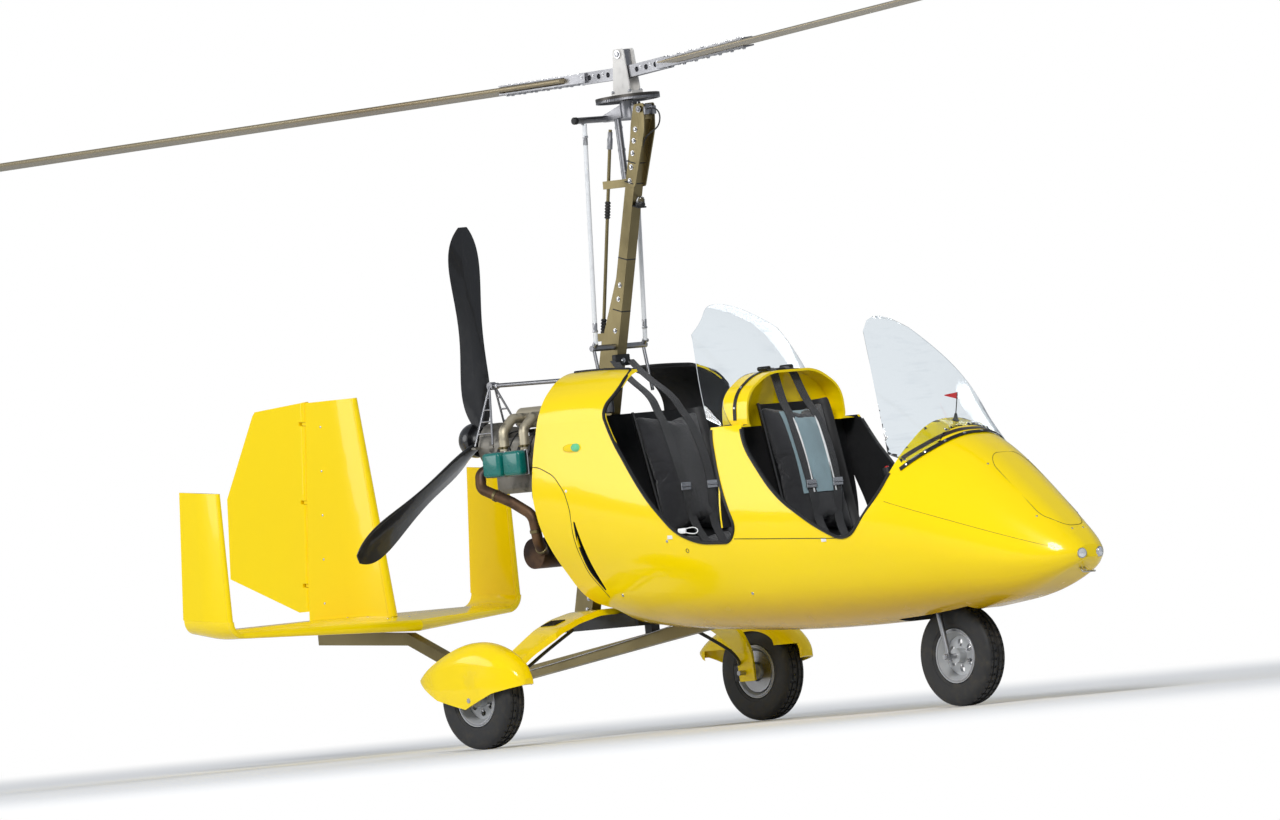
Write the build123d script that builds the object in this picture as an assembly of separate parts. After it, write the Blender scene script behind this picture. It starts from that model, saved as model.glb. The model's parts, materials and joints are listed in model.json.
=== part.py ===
from build123d import *
import math
import os

os.makedirs("parts", exist_ok=True)

# Frame: +X is forward, +Y is port, +Z is up, in millimetres.
# The origin lies on the ground under the rotor hub.

# Fits
part_gap = 0.3
pin_fit = 0.05
# Depth of an overlap between what is fused, and reach of cutting tools past what they cut
fuse_depth = 2.0
overrun = 10.0
beyond_y, beyond_z = 600.0, 1700.0

# Hull
hull_wall = 10.0
hull_rounding = 0.42
# Hull sections from the nose aft:
# x, floor z, floor half, side z, side half, shoulder z, shoulder half, top z, top half
hull_stations = (
    (2372, 540, 36, 560, 62, 578, 52, 588, 30),
    (2340, 515, 76, 556, 108, 600, 88, 628, 46),
    (2250, 472, 120, 560, 172, 655, 132, 716, 66),
    (2080, 414, 152, 600, 240, 760, 190, 866, 88),
    (1860, 384, 180, 660, 308, 890, 245, 1040, 105),
    (1640, 364, 205, 700, 362, 985, 312, 1142, 120),
    (1250, 350, 220, 725, 390, 1090, 335, 1290, 140),
    (780, 358, 225, 740, 400, 1210, 345, 1398, 150),
    (330, 388, 220, 770, 400, 1300, 350, 1440, 190),
    (-100, 440, 205, 850, 392, 1345, 355, 1468, 215),
    (-330, 500, 190, 880, 382, 1345, 355, 1468, 215),
    (-520, 560, 175, 900, 370, 1340, 350, 1460, 210),
)
# Side-view outlines, x and z, of what is cut through the hull
front_opening_points = (
    (1655, 1600), (1655, 950), (1385, 688), (1225, 766), (1010, 905),
    (855, 1095), (800, 1225), (795, 1600),
)
rear_opening_points = (
    (655, 1600), (655, 1190), (700, 980), (778, 790), (735, 732), (560, 742),
    (440, 790), (270, 962), (112, 1180), (52, 1300), (110, 1380), (10, 1600),
)
rear_edge_points = (
    (-310, 1700), (-312, 1340), (-365, 1140), (-384, 1000), (-378, 860), (-345, 725),
    (-272, 545), (-105, 500), (-60, 300), (-700, 300), (-700, 1700),
)
cowl_panel_points = (
    (-460, 1108), (-340, 1104), (-245, 1062), (-188, 992), (-170, 920), (-188, 790),
    (-178, 660), (-120, 574), (-85, 480), (-460, 480),
)
cowl_panel_inner = 60.0
scoop_points = ((-158, 905), (-174, 780), (-168, 665), (-100, 560), (-128, 670), (-142, 780))
scoop_inner = 200.0
mast_notch_front, mast_notch_rear = 80.0, -300.0
mast_notch_half, mast_notch_floor = 165.0, 1290.0
# Hatch on top of the nose, in plan, and the height from which it is cut
hatch_points = ((1943, -100), (2216, -100), (2298, -45), (2298, 45), (2216, 100), (1943, 100))
hatch_cut_z = 590.0

# Windshields: sheet, and rows of z, half width, edge x, centre x
screen_sheet = 4.0
front_screen_rows = (
    (930, 330, 1660, 1890),
    (1080, 308, 1592, 1765),
    (1250, 280, 1522, 1592),
    (1410, 236, 1425, 1442),
    (1575, 170, 1278, 1290),
)
rear_screen_rows = (
    (1175, 334, 642, 815),
    (1300, 318, 600, 735),
    (1430, 287, 552, 645),
    (1560, 240, 492, 540),
    (1690, 170, 366, 380),
)
screen_corner_rise, screen_corner_half = 190.0, 60.0
screen_margin, screen_top_trim, screen_taper = 20.0, 8.0, 1.0

# Cockpit
seat_half, seat_pad = 195.0, 55.0
front_seat_line = ((1290, 545), (1010, 500), (905, 720), (785, 1275))
rear_seat_line = ((575, 600), (300, 565), (190, 770), (60, 1290))
seat_base_half, seat_base_front, seat_base_rear = 165.0, 50.0, 60.0
floor_sheet, floor_z, floor_rear, floor_front = 12.0, 425.0, -150.0, 1380.0
# Hoop behind the front seat, and the bulkheads that carry the instrument panels
hoop_rear, hoop_front, ledge_z, ledge_cut = 655.0, 795.0, 1190.0, 60.0
hoop_points = ((278, 1150), (266, 1310), (135, 1393), (-135, 1393), (-266, 1310), (-278, 1150))
bulkhead_sheet, bulkhead_foot_z = 8.0, 790.0
front_bulkhead_x, rear_bulkhead_x = 1692.0, 700.0
panel_sheet = 24.0
front_panel_points = ((245, 800), (232, 950), (125, 1070), (-125, 1070), (-232, 950), (-245, 800))
rear_panel_points = ((240, 860), (235, 1210), (110, 1345), (-110, 1345), (-235, 1210), (-240, 860))
firewall_x, firewall_z, firewall_sheet, firewall_drop = -222.0, 540.0, 10.0, 5.0
stick_xs = (1360.0, 630.0)
stick_radius, stick_height, stick_lean = 11.0, 430.0, 60.0
stick_grip_radius, stick_grip_length, stick_grip_lean = 20.0, 110.0, 18.0
stick_boot_radius, stick_boot_height, stick_socket = 26.0, 30.0, 8.0

# Keel and mast
keel_square = 50.0
keel_upper_line = ((560, 487), (-1132, 278), (-1574, 487), (-2110, 521))
mast_lean = 16.0
mast_square = 50.0
mast_front_x, mast_top_z = 90.0, 2450.0
mast_gusset_top_z, mast_gusset_foot_z, mast_gusset_depth = 1830.0, 1560.0, 50.0
cheek_sheet = 6.0
cheek_points = ((120, 2515), (64, 2515), (36, 2440), (-14, 2185), (26, 2185), (112, 2410))

# Rotor head and its controls
rotor_tilt, rotor_cone = 3.0, 2.0
teeter_z, undersling = 2720.0, 75.0
disc_z, disc_radius, disc_sheet = 2546.0, 130.0, 12.0
disc_holes, disc_hole_circle, disc_hole_radius = 12, 106.0, 8.0
bearing_radius, bearing_foot, bearing_top = 36.0, -82.0, -14.0
spindle_radius, spindle_foot = 22.0, -66.0
pitch_pin_x, pitch_pin_z = 95.0, 2492.0
pitch_bolt_radius, pitch_bolt_reach = 9.0, 7.0
beam_rear_x, beam_lead, beam_half, beam_drop, beam_rise = -60.0, 22.0, 18.0, 20.0, 18.0
crossbar_x, crossbar_z, crossbar_half, crossbar_radius = -125.0, 2470.0, 188.0, 13.0
arm_points, arm_half = ((-30, 2520), (-30, 2470), (-139, 2456), (-139, 2484)), 16.0
push_rod_y, push_rod_radius = 137.0, 9.0
push_rod_top, push_rod_bottom = (-120.0, 2456.0), (-176.0, 1572.0)
crank_x, crank_z, crank_radius, crank_reach = -190.0, 1556.0, 12.0, 14.0
clevis_radius, clevis_rise = 11.0, 4.0
lower_rod_foot, lower_rod_radius, lower_rod_drop = (-160.0, 1370.0), 7.0, 8.0
prerotator_top, prerotator_foot, prerotator_radius = (-118.0, 2425.0), (-281.0, 1560.0), 7.0
shaft_bracket_zs, shaft_bracket_half, shaft_bracket_length = (2205.0, 1600.0), 16.0, 150.0
trim_top, trim_foot, trim_radius = (-70.0, 2475.0), (-57.0, 2212.0), 14.0

# Rotor
rotor_radius, blade_chord, blade_thickness, blade_pitch = 4200.0, 200.0, 26.0, 4.0
blade_root, blade_axis_share, blade_edge = 330.0, 0.3, 3.0
hub_bar_reach, hub_bar_half_width, hub_bar_half_height = 250.0, 19.0, 24.0
hub_holes, hub_hole_radius = (85.0, 140.0, 195.0), 11.0
strap_start, strap_reach, strap_half_width, strap_sheet = 210.0, 720.0, 31.0, 6.0
tower_base, tower_top_length, tower_top_z = 100.0, 58.0, 2742.0
tower_inner_half, tower_plate, tower_foot_half = 24.0, 6.0, 60.0
tower_foot_low, tower_foot_high, tower_plate_low = 8.0, 24.0, 20.0
teeter_bolt_radius, teeter_bolt_reach = 8.0, 6.0
teeter_block_half, teeter_block_rise = 20.0, 18.0

# Wheels
tyre_radius, tyre_width, rim_radius = 200.0, 100.0, 108.0
tread_half, tyre_shoulder_drop, bead_half, bead_rise = 37.5, 30.0, 36.0, 12.0
rim_width, rim_lip, rim_well, rim_disc_half = 84.0, 12.0, 30.0, 7.0
rim_holes, rim_hole_circle, rim_hole_radius = 6, 54.0, 13.0
axle_radius, hub_radius = 10.0, 30.0
main_axle_x, main_track_half = -345.0, 777.0
main_axle_inner, main_axle_reach = 640.0, 82.0

# Gear bow, its tray under the mast foot, and the wheel fairings
bow_sheet, bow_stock = 24.0, 900.0
bow_line = ((200, 500), (330, 474), (460, 436), (585, 362), (678, 280), (690, 165))
bow_radii = (300, 300, 300, 300, 60)
bow_front_edge = ((-235, 0), (-228, 300), (-205, 480), (-262, 620), (-305, 700))
bow_rear_edge = ((-405, 0), (-406, 300), (-362, 480), (-368, 620), (-385, 700))
tray_rear, tray_front, tray_half = -585.0, -120.0, 110.0
tray_floor, tray_top, tray_rounding = 432.0, 488.0, 14.0
tray_lug_rear, tray_lug_front, tray_lug_half = -170.0, -130.0, 22.0
# Wheel fairing sections: x, half width, bottom z, side z, shoulder z, top z
spat_stations = (
    (-690, 14, 284, 291, 298, 303),
    (-630, 44, 225, 262, 318, 342),
    (-520, 70, 140, 240, 350, 390),
    (-345, 84, 110, 230, 375, 428),
    (-205, 80, 110, 230, 350, 398),
    (-120, 60, 150, 230, 310, 342),
    (-72, 24, 225, 240, 256, 268),
)
spat_floor_share, spat_shoulder_share, spat_top_share = 0.86, 0.94, 0.42
spat_wall, spat_inner_half = 6.0, 70.0
spat_lower_points = (
    (-20, 262), (-90, 240), (-212, 221), (-375, 165), (-552, 211), (-720, 300), (-720, 60), (-20, 60),
)
spat_inner_cut, spat_inner_edge_z = 30.0, 300.0

# Nose gear
nose_axle_x, nose_rake = 1605.0, 11.3
fork_y, fork_radius, fork_foot_z, fork_crown_z = 76.0, 11.0, 178.0, 436.0
crown_radius, crown_reach = 14.0, 10.0
collar_radius, collar_reach = 17.0, 13.0
tow_pin_radius, tow_pin_reach = 9.0, 28.0
steer_stem_radius, steer_stem_top = 14.0, 560.0
steer_tube_radius, steer_tube_top = 22.0, 548.0
well_front, well_rear, well_half = 1790.0, 1395.0, 128.0
well_top, well_sheet, well_foot = 470.0, 6.0, 300.0

# Engine
crank_line_z = 1130.0
case_front, case_rear, case_half, case_bottom, case_top = -455.0, -850.0, 118.0, 1010.0, 1235.0
case_rounding = 24.0
cylinder_xs = (-585.0, -705.0)
cylinder_radius, barrel_radius, cylinder_reach = 52.0, 38.0, 222.0
fin_count, fin_sheet, fin_pitch, fin_start = 7, 5.0, 13.0, 6.0
cover_length, cover_height, cover_reach = 108.0, 104.0, 285.0
cover_corner, cover_rounding = 18.0, 14.0
plenum_front, plenum_rear, plenum_z, plenum_radius = -500.0, -790.0, 1310.0, 42.0
runner_y, runner_foot_z, runner_bend_z, runner_turn_y, runner_rake = 196.0, 1172.0, 1262.0, 130.0, 8.0
intake_radius, intake_bend = 20.0, 30.0
exhaust_radius = 22.0
exhaust_route = (
    (-745, 172, 1120), (-818, 236, 1108), (-806, 252, 1040), (-650, 236, 975),
    (-566, 205, 915), (-566, 190, 800), (-600, 130, 760), (-640, 60, 760),
)
exhaust_bends = (28, 40, 40, 60, 60, 40)
muffler_x, muffler_z, muffler_half, muffler_radius = -640.0, 760.0, 150.0, 62.0
prop_line_z = 1240.0
gearbox_rear, gearbox_z, gearbox_radius = -985.0, 1200.0, 80.0
gearbox_nose_length, gearbox_nose_radius = 60.0, 62.0
flange_length, flange_radius = 22.0, 48.0
bracket_apex_x, bracket_apex_y, bracket_apex_z = -955.0, 14.0, 1452.0
bracket_feet_xs, bracket_feet_z, bracket_half = (-880.0, -985.0), 1215.0, 96.0
bracket_radius, rung_radius, rungs, apex_boss_radius = 4.5, 3.5, 5, 16.0
lug_half, lug_inner, lug_outer, lug_low, lug_high = 12.0, 55.0, 106.0, 14.0, 5.0
stay_radius, stay_front_x, stay_front_z = 9.0, -300.0, 1440.0
mount_rows = ((1210.0, 1205.0), (1070.0, 1050.0))
mount_radius, mount_front_x, mount_rear_x, mount_rear_y = 10.0, -350.0, -475.0, 84.0

# Propeller
prop_radius, prop_blades = 865.0, 3
# Blade sections: radius, chord, thickness, angle to the plane of rotation
prop_blade_rows = (
    (40, 46, 34, 62), (190, 118, 24, 38), (480, 104, 16, 24), (845, 70, 8, 14), (prop_radius, 40, 6, 12),
)
prop_hub_gap, prop_hub_length, prop_hub_radius = 6.0, 44.0, 52.0
prop_shaft_radius, prop_shaft_length, prop_bore_depth = 18.0, 58.0, 32.0
spinner_radius, spinner_tip_x, spinner_gap = 68.0, -1150.0, 1.0

# Tail
tail_pitch = 5.3
stab_nose_x, stab_nose_z = -1500.0, 514.0
stab_root_chord, stab_tip_chord = 640.0, 292.0
stab_root_thickness, stab_tip_thickness, trailing_edge = 62.0, 36.0, 6.0
stab_half_span, endplate_bend = 800.0, 58.0
stab_tip_nose_x, stab_tip_nose_z = -1766.0, 541.0
endplate_top_z, endplate_top_chord, endplate_top_nose_x, endplate_top_thickness = 1122.0, 238.0, -1771.0, 24.0
# Fin sections: z, leading edge x, thickness
fin_rows = ((560.0, -1655.0, 58.0), (1464.0, -1772.0, 38.0))
fin_tail_share = 0.8
hinge_foot_x, hinge_foot_z, hinge_top_x, hinge_top_z = -2178.0, 586.0, -2089.0, 1465.0
rudder_nose_radius, rudder_gap, rudder_chord, rudder_edge_half = 19.0, 6.0, 560.0, 4.0
rudder_low, rudder_high = 560.0, 1500.0
rudder_points = (
    (-2060, 1470), (-2092, 1466), (-2380, 1449), (-2398, 1432), (-2604, 1104), (-2629, 775),
    (-2215, 612), (-2150, 612),
)
hinge_lug_zs, hinge_lug_radius, hinge_lug_half_height = (720.0, 1060.0, 1380.0), 11.0, 6.0
hinge_pin_radius, hinge_pin_half = 4.0, 26.0
slot_rear, slot_front, slot_half_width, slot_clear = 14.0, 43.0, 40.0, 2.0


def side_plane(y):
    """Side-view plane at y, with x forward and z up."""
    return Plane(origin=(0, y, 0), x_dir=(1, 0, 0), z_dir=(0, -1, 0))


def front_plane(x, z=0):
    """Plane across the machine at x, with y to port and z up."""
    return Plane(origin=(x, 0, z), x_dir=(0, 1, 0), z_dir=(1, 0, 0))


def rounded_outline(corners, share):
    """Closed wire whose corners are arcs that take the given share of the shorter side."""
    corners = [Vector(*corner) for corner in corners]
    ends = []
    edges = []
    for index, corner in enumerate(corners):
        before = corners[index - 1] - corner
        after = corners[(index + 1) % len(corners)] - corner
        setback = share * min(before.length, after.length)
        half_angle = math.radians(before.get_angle(after)) / 2
        bisector = (before.normalized() + after.normalized()).normalized()
        apex = corner + bisector * (setback / math.cos(half_angle) - setback * math.tan(half_angle))
        ends.append((corner + before.normalized() * setback, apex, corner + after.normalized() * setback))
    for index, (start, apex, end) in enumerate(ends):
        edges.append(Edge.make_three_point_arc(start, apex, end))
        edges.append(Edge.make_line(end, ends[(index + 1) % len(ends)][0]))
    return Wire(edges)


def rounded_face(plane, corners, share):
    return plane * Face(rounded_outline(corners, share))


def side_prism(points, y_low, y_high, share=0.0):
    """Solid with a side-view outline, from y_low to y_high."""
    plane = side_plane(y_low)
    if share:
        face = rounded_face(plane, points, share)
    else:
        face = plane * make_face(Polyline(*points, close=True))
    return extrude(face, y_high - y_low, dir=(0, 1, 0))


def block(x_low, x_high, y_low, y_high, z_low, z_high):
    centre = ((x_low + x_high) / 2, (y_low + y_high) / 2, (z_low + z_high) / 2)
    return Pos(*centre) * Box(x_high - x_low, y_high - y_low, z_high - z_low)


def rod(start, end, radius):
    """Round bar from start to end."""
    start, end = Vector(*start), Vector(*end)
    plane = Plane(origin=start, z_dir=end - start)
    return extrude(plane * Circle(radius), (end - start).length)


def cross_rod(x, z, y_low, y_high, radius):
    """Round bar across the machine."""
    return rod((x, y_low, z), (x, y_high, z), radius)


def long_rod(x_front, x_rear, z, radius):
    """Round bar along the machine in its middle plane."""
    return rod((x_front, 0, z), (x_rear, 0, z), radius)


def pipe(points, radii, radius):
    """Round pipe along straight runs joined by arcs."""
    path = FilletPolyline(*points, radius=radii)
    start = Plane(origin=path @ 0, z_dir=path % 0)
    return sweep(start * Circle(radius), path=path)


def both_sides(shape):
    return shape + mirror(shape, about=Plane.XZ)


def largest_solid(shape):
    return shape.solids().sort_by(SortBy.VOLUME)[-1]


def hull_form(inset, stations, rear_reach=0.0):
    """Outer or inner form of the hull, inset from the outer skin."""
    faces = []
    last = stations[-1][0]
    for x, floor_z, floor_half, side_z, side_half, shoulder_z, shoulder_half, top_z, top_half in stations:
        right = (
            (floor_half - inset * 0.6, floor_z + inset),
            (side_half - inset, side_z),
            (shoulder_half - inset, shoulder_z - inset * 0.4),
            (top_half - inset * 0.6, top_z - inset),
        )
        corners = list(right) + [(-y, z) for y, z in reversed(right)]
        place = x - rear_reach if x == last else x
        faces.append(rounded_face(front_plane(place), corners, hull_rounding))
    return loft(faces)


def screen(rows, hull):
    """Curved clear sheet standing on the hull, with rounded top corners."""
    faces = []
    for z, half, edge_x, centre_x in rows:
        outer = Edge.make_three_point_arc((edge_x, -half, z), (centre_x, 0, z), (edge_x, half, z))
        inner = Edge.make_three_point_arc(
            (edge_x - screen_sheet, half - screen_taper, z),
            (centre_x - screen_sheet, 0, z),
            (edge_x - screen_sheet, screen_taper - half, z),
        )
        joins = [Edge.make_line(outer @ 1, inner @ 0), Edge.make_line(inner @ 1, outer @ 0)]
        faces.append(Face(Wire([outer, joins[0], inner, joins[1]])))
    sheet = loft(faces)
    foot, half = rows[0][0] - screen_margin, rows[0][1] + screen_margin
    top = rows[-1][0] - screen_top_trim
    corner_z = top - screen_corner_rise
    outline = (
        (-half, foot), (half, foot), (half, corner_z),
        (screen_corner_half, top), (-screen_corner_half, top), (-half, corner_z),
    )
    window = extrude(rounded_face(front_plane(0), outline, 0.48), hull_stations[0][0], dir=(1, 0, 0))
    return (sheet & window) - hull


def make_seat(line, reach):
    """Padded seat from a side-view line of its upper surface."""
    upper = [Vector(x, z) for x, z in line]
    lower = [Vector(x - reach, z - seat_pad) for x, z in line]
    lower[0] = Vector(line[0][0], line[0][1] - seat_pad)
    outline = [(p.X, p.Y) for p in upper + lower[::-1]]
    return side_prism(outline, -seat_half, seat_half, share=0.3)


def make_seat_base(line):
    """Block between the cabin floor and the underside of a seat."""
    lip, hollow = line[0], (line[1][0] - seat_pad, line[1][1])
    under_slope = (lip[1] - hollow[1]) / (lip[0] - hollow[0])
    front, rear = lip[0] - seat_base_front, hollow[0] + seat_base_rear
    outline = [(front, floor_z), (rear, floor_z)]
    for x in (rear, front):
        outline.append((x, hollow[1] - seat_pad + (x - hollow[0]) * under_slope))
    return side_prism(outline, -seat_base_half, seat_base_half)


def wheel_ring(x, y, profile):
    """Body of revolution about the axle at x and y; profile gives offset y and radius."""
    face = Plane.XY * make_face(Polyline(*profile, close=True))
    ring = revolve(face, Axis.X, 360)
    return Pos(x, y, tyre_radius) * Rot(0, 0, 90) * ring


def make_tyre(x, y):
    half, shoulder, bead = tyre_width / 2, tyre_radius - tyre_shoulder_drop, rim_radius + bead_rise
    section = rounded_outline(
        ((-half, bead), (-half, shoulder), (-tread_half, tyre_radius), (tread_half, tyre_radius),
         (half, shoulder), (half, bead), (bead_half, rim_radius), (-bead_half, rim_radius)),
        0.4,
    )
    ring = revolve(Plane.XY * Face(section), Axis.X, 360)
    return Pos(x, y, tyre_radius) * Rot(0, 0, 90) * ring


def make_rim(x, y):
    half = rim_width / 2
    seat = rim_radius - part_gap
    bore = axle_radius + pin_fit
    barrel = wheel_ring(x, y, (
        (-half, seat - rim_lip), (-half, seat), (half, seat), (half, seat - rim_lip),
        (rim_lip, seat - rim_well), (-rim_lip, seat - rim_well),
    ))
    disc_inner, disc_outer = hub_radius - rim_lip, seat - rim_well + fuse_depth
    disc = wheel_ring(x, y, (
        (-rim_disc_half, disc_inner), (-rim_disc_half, disc_outer),
        (rim_disc_half, disc_outer), (rim_disc_half, disc_inner),
    ))
    hub = wheel_ring(x, y, ((-half, bore), (-half, hub_radius), (half, hub_radius), (half, bore)))
    hole = Pos(0, 0, rim_hole_circle) * Rot(90, 0, 0) * Cylinder(rim_hole_radius, rim_width)
    holes = [Pos(x, y, tyre_radius) * Rot(0, 360 / rim_holes * turn, 0) * hole for turn in range(rim_holes)]
    return (barrel + disc + hub) - holes


def lens(nose_x, chord, thickness, blunt, plane):
    """Symmetrical section from nose_x aft: nose arc, two flanks and a blunt tail."""
    half, tail = thickness / 2, blunt / 2
    nose = chord * 0.06
    shoulder = nose_x - nose
    flank_x = nose_x - 0.3 * chord
    rear = nose_x - chord
    upper_mid = (nose_x - 0.55 * chord, 0.88 * half + 0.12 * tail)
    edges = [
        Edge.make_three_point_arc((shoulder, -0.62 * half), (nose_x, 0), (shoulder, 0.62 * half)),
        Edge.make_three_point_arc((shoulder, 0.62 * half), (flank_x, half), upper_mid),
        Edge.make_line(upper_mid, (rear, tail)),
        Edge.make_line((rear, tail), (rear, -tail)),
        Edge.make_line((rear, -tail), (upper_mid[0], -upper_mid[1])),
        Edge.make_three_point_arc((upper_mid[0], -upper_mid[1]), (flank_x, -half), (shoulder, -0.62 * half)),
    ]
    return plane * Face(Wire(edges))


parts = {}

# Keel passage, cut through everything that the keel tube runs through
keel_lower_line = [(x, z - keel_square) for x, z in keel_upper_line]
keel_outline = list(keel_upper_line) + list(reversed(keel_lower_line))
keel_passage = side_prism(
    [(x, z + part_gap) for x, z in keel_upper_line] + [(x, z - part_gap) for x, z in reversed(keel_lower_line)],
    -keel_square / 2 - part_gap, keel_square / 2 + part_gap,
)

# Hull shell with its openings
outer_form = hull_form(0, hull_stations)
clear_form = hull_form(-part_gap, hull_stations)
inner_form = hull_form(hull_wall, hull_stations[1:], rear_reach=30)
middle_form = hull_form(hull_wall / 2, hull_stations[1:], rear_reach=15)
rear_tool = side_prism(rear_edge_points, -beyond_y, beyond_y, share=0.3)
front_opening = side_prism(front_opening_points, -beyond_y, beyond_y, share=0.42)
rear_opening = side_prism(rear_opening_points, -beyond_y, beyond_y, share=0.42)
mast_notch = block(
    mast_notch_rear, mast_notch_front, -mast_notch_half, mast_notch_half, mast_notch_floor, beyond_z)
well_opening = block(well_rear, well_front, -well_half, well_half, 0, well_top)
above_ledge = block(hoop_rear - ledge_cut, hoop_front + ledge_cut, -beyond_y, beyond_y, ledge_z, beyond_z)
scoop = both_sides(side_prism(scoop_points, scoop_inner, beyond_y, share=0.3))
shell = outer_form - inner_form - rear_tool - front_opening - rear_opening
shell = shell - mast_notch - well_opening - above_ledge - scoop

# Panels that come off the shell: a cowl on each side and the hatch on the nose
cowl_tool = side_prism(cowl_panel_points, -beyond_y, beyond_y, share=0.3)
cowl_stock = shell & cowl_tool
cowl_front, cowl_rear = hull_stations[-2][0] + beyond_y, hull_stations[-1][0] - beyond_y
parts["cowl_panel_left"] = cowl_stock & block(cowl_rear, cowl_front, cowl_panel_inner, beyond_y, 0, beyond_z)
parts["cowl_panel_right"] = cowl_stock & block(cowl_rear, cowl_front, -beyond_y, -cowl_panel_inner, 0, beyond_z)
hatch_face = rounded_face(Plane(origin=(0, 0, hatch_cut_z)), hatch_points, 0.3)
hatch_stock = shell & extrude(hatch_face, beyond_z - hatch_cut_z)
parts["nose_hatch"] = hatch_stock

# Ledge and hoop behind the front seat, floor, firewall and bulkheads
hoop_face = rounded_face(front_plane(hoop_rear), hoop_points, 0.4)
hoop_depth = hoop_front - hoop_rear
hoop_form = extrude(hoop_face, hoop_depth)
hoop_hollow = extrude(offset(hoop_face, -hull_wall), hoop_depth)
ledge_low = ledge_z - hull_wall
ledge = (block(hoop_rear, hoop_front, -beyond_y, beyond_y, ledge_low, ledge_z) & middle_form) - hoop_hollow
hoop = (hoop_form - hoop_hollow) & block(hoop_rear, hoop_front, -beyond_y, beyond_y, ledge_low, beyond_z)
floor_plate = block(floor_rear, floor_front, -beyond_y, beyond_y, floor_z, floor_z + floor_sheet) & middle_form
firewall = middle_form & block(
    firewall_x - firewall_sheet, firewall_x, -beyond_y, beyond_y, firewall_z, mast_notch_floor - firewall_drop)
front_bulkhead = middle_form & block(
    front_bulkhead_x, front_bulkhead_x + bulkhead_sheet, -beyond_y, beyond_y, bulkhead_foot_z, beyond_z)
rear_bulkhead = middle_form & block(
    rear_bulkhead_x, rear_bulkhead_x + bulkhead_sheet, -beyond_y, beyond_y, bulkhead_foot_z, ledge_z - 1)
rear_bulkhead = rear_bulkhead + extrude(Pos(rear_bulkhead_x - hoop_rear, 0, 0) * hoop_face, bulkhead_sheet)
hull = shell + ledge + hoop + floor_plate + firewall + front_bulkhead + rear_bulkhead
hull = hull - cowl_stock - hatch_stock - keel_passage

# Nose wheel well with the steering tube on its roof, and the seat bases
well_liner = (
    block(well_rear - well_sheet, well_front + well_sheet, -well_half - well_sheet, well_half + well_sheet,
          well_foot, well_top + well_sheet)
    - well_opening
) & inner_form
rake_slope = math.tan(math.radians(nose_rake))


def on_stem(z, y=0.0):
    """Point of the steering line at height z."""
    return (nose_axle_x - (z - tyre_radius) * rake_slope, y, z)


steering_tube = rod(on_stem(well_top + well_sheet / 2), on_stem(steer_tube_top), steer_tube_radius)
stem_bore = rod(on_stem(tyre_radius), on_stem(steer_stem_top + overrun), steer_stem_radius + pin_fit)
hull = hull + well_liner + steering_tube - stem_bore
for line in (front_seat_line, rear_seat_line):
    hull = hull + (make_seat_base(line) - keel_passage)
parts["hull"] = hull

# Windshields
parts["front_windshield"] = screen(front_screen_rows, clear_form)
hoop_clear = extrude(offset(hoop_face, part_gap), hoop_depth)
below_ledge = block(hoop_rear - beyond_y, hoop_front + beyond_y, -beyond_y, beyond_y, 0, ledge_z + part_gap)
parts["rear_windshield"] = largest_solid(screen(rear_screen_rows, hoop_clear) - below_ledge)

# Instrument panels, seats and control sticks
front_face = rounded_face(front_plane(front_bulkhead_x - panel_sheet), front_panel_points, 0.3)
rear_face = rounded_face(front_plane(rear_bulkhead_x - panel_sheet), rear_panel_points, 0.3)
parts["front_panel"] = extrude(front_face, panel_sheet)
parts["rear_panel"] = extrude(rear_face, panel_sheet)
parts["front_seat"] = make_seat(front_seat_line, seat_pad)
parts["rear_seat"] = make_seat(rear_seat_line, seat_pad)
sticks = []
floor_top = floor_z + floor_sheet
for x in stick_xs:
    boot = rod((x, 0, floor_top), (x, 0, floor_top + stick_boot_height), stick_boot_radius)
    foot = (x, 0, floor_top + stick_boot_height - stick_socket)
    top = (x - stick_lean, 0, floor_z + stick_height)
    grip_top = (top[0] - stick_grip_lean, 0, top[2] + stick_grip_length)
    sticks.append(boot + rod(foot, top, stick_radius) + rod(top, grip_top, stick_grip_radius))
parts["control_sticks"] = Compound(children=sticks)

# Keel tube, and the mast that leans forward from the tray to the rotor head
parts["keel_tube"] = side_prism(keel_outline, -keel_square / 2, keel_square / 2)
lean_slope = math.tan(math.radians(mast_lean))
mast_depth = mast_square / math.cos(math.radians(mast_lean))


def mast_front(z):
    return mast_front_x - (mast_top_z - z) * lean_slope


mast_outline = (
    (mast_front_x, mast_top_z),
    (mast_front_x - mast_depth, mast_top_z),
    (mast_front(mast_gusset_top_z) - mast_depth, mast_gusset_top_z),
    (mast_front(mast_gusset_foot_z) - mast_depth - mast_gusset_depth, mast_gusset_foot_z),
    (mast_front(tray_top) - mast_depth - mast_gusset_depth, tray_top),
    (mast_front(tray_top), tray_top),
)
cheek_y = mast_square / 2
parts["mast"] = side_prism(mast_outline, -cheek_y, cheek_y)
mast_clear = side_prism(mast_outline, -cheek_y - part_gap, cheek_y + part_gap)

# Rotor head: cheeks on the mast, the tilting beam with its crossbar, and the bearing
cheek = side_prism(cheek_points, cheek_y, cheek_y + cheek_sheet, share=0.2)
cheek = cheek - cross_rod(pitch_pin_x, pitch_pin_z, 0, cheek_y + overrun, pitch_bolt_radius + pin_fit)
parts["mast_head"] = Compound(children=[cheek, mirror(cheek, about=Plane.XZ)])

head_axis = Vector(-math.sin(math.radians(rotor_tilt)), 0, math.cos(math.radians(rotor_tilt)))


def on_axis(height):
    """Point on the rotor axis, height above the gear disc."""
    return Vector(0, 0, disc_z) + head_axis * height


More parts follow.
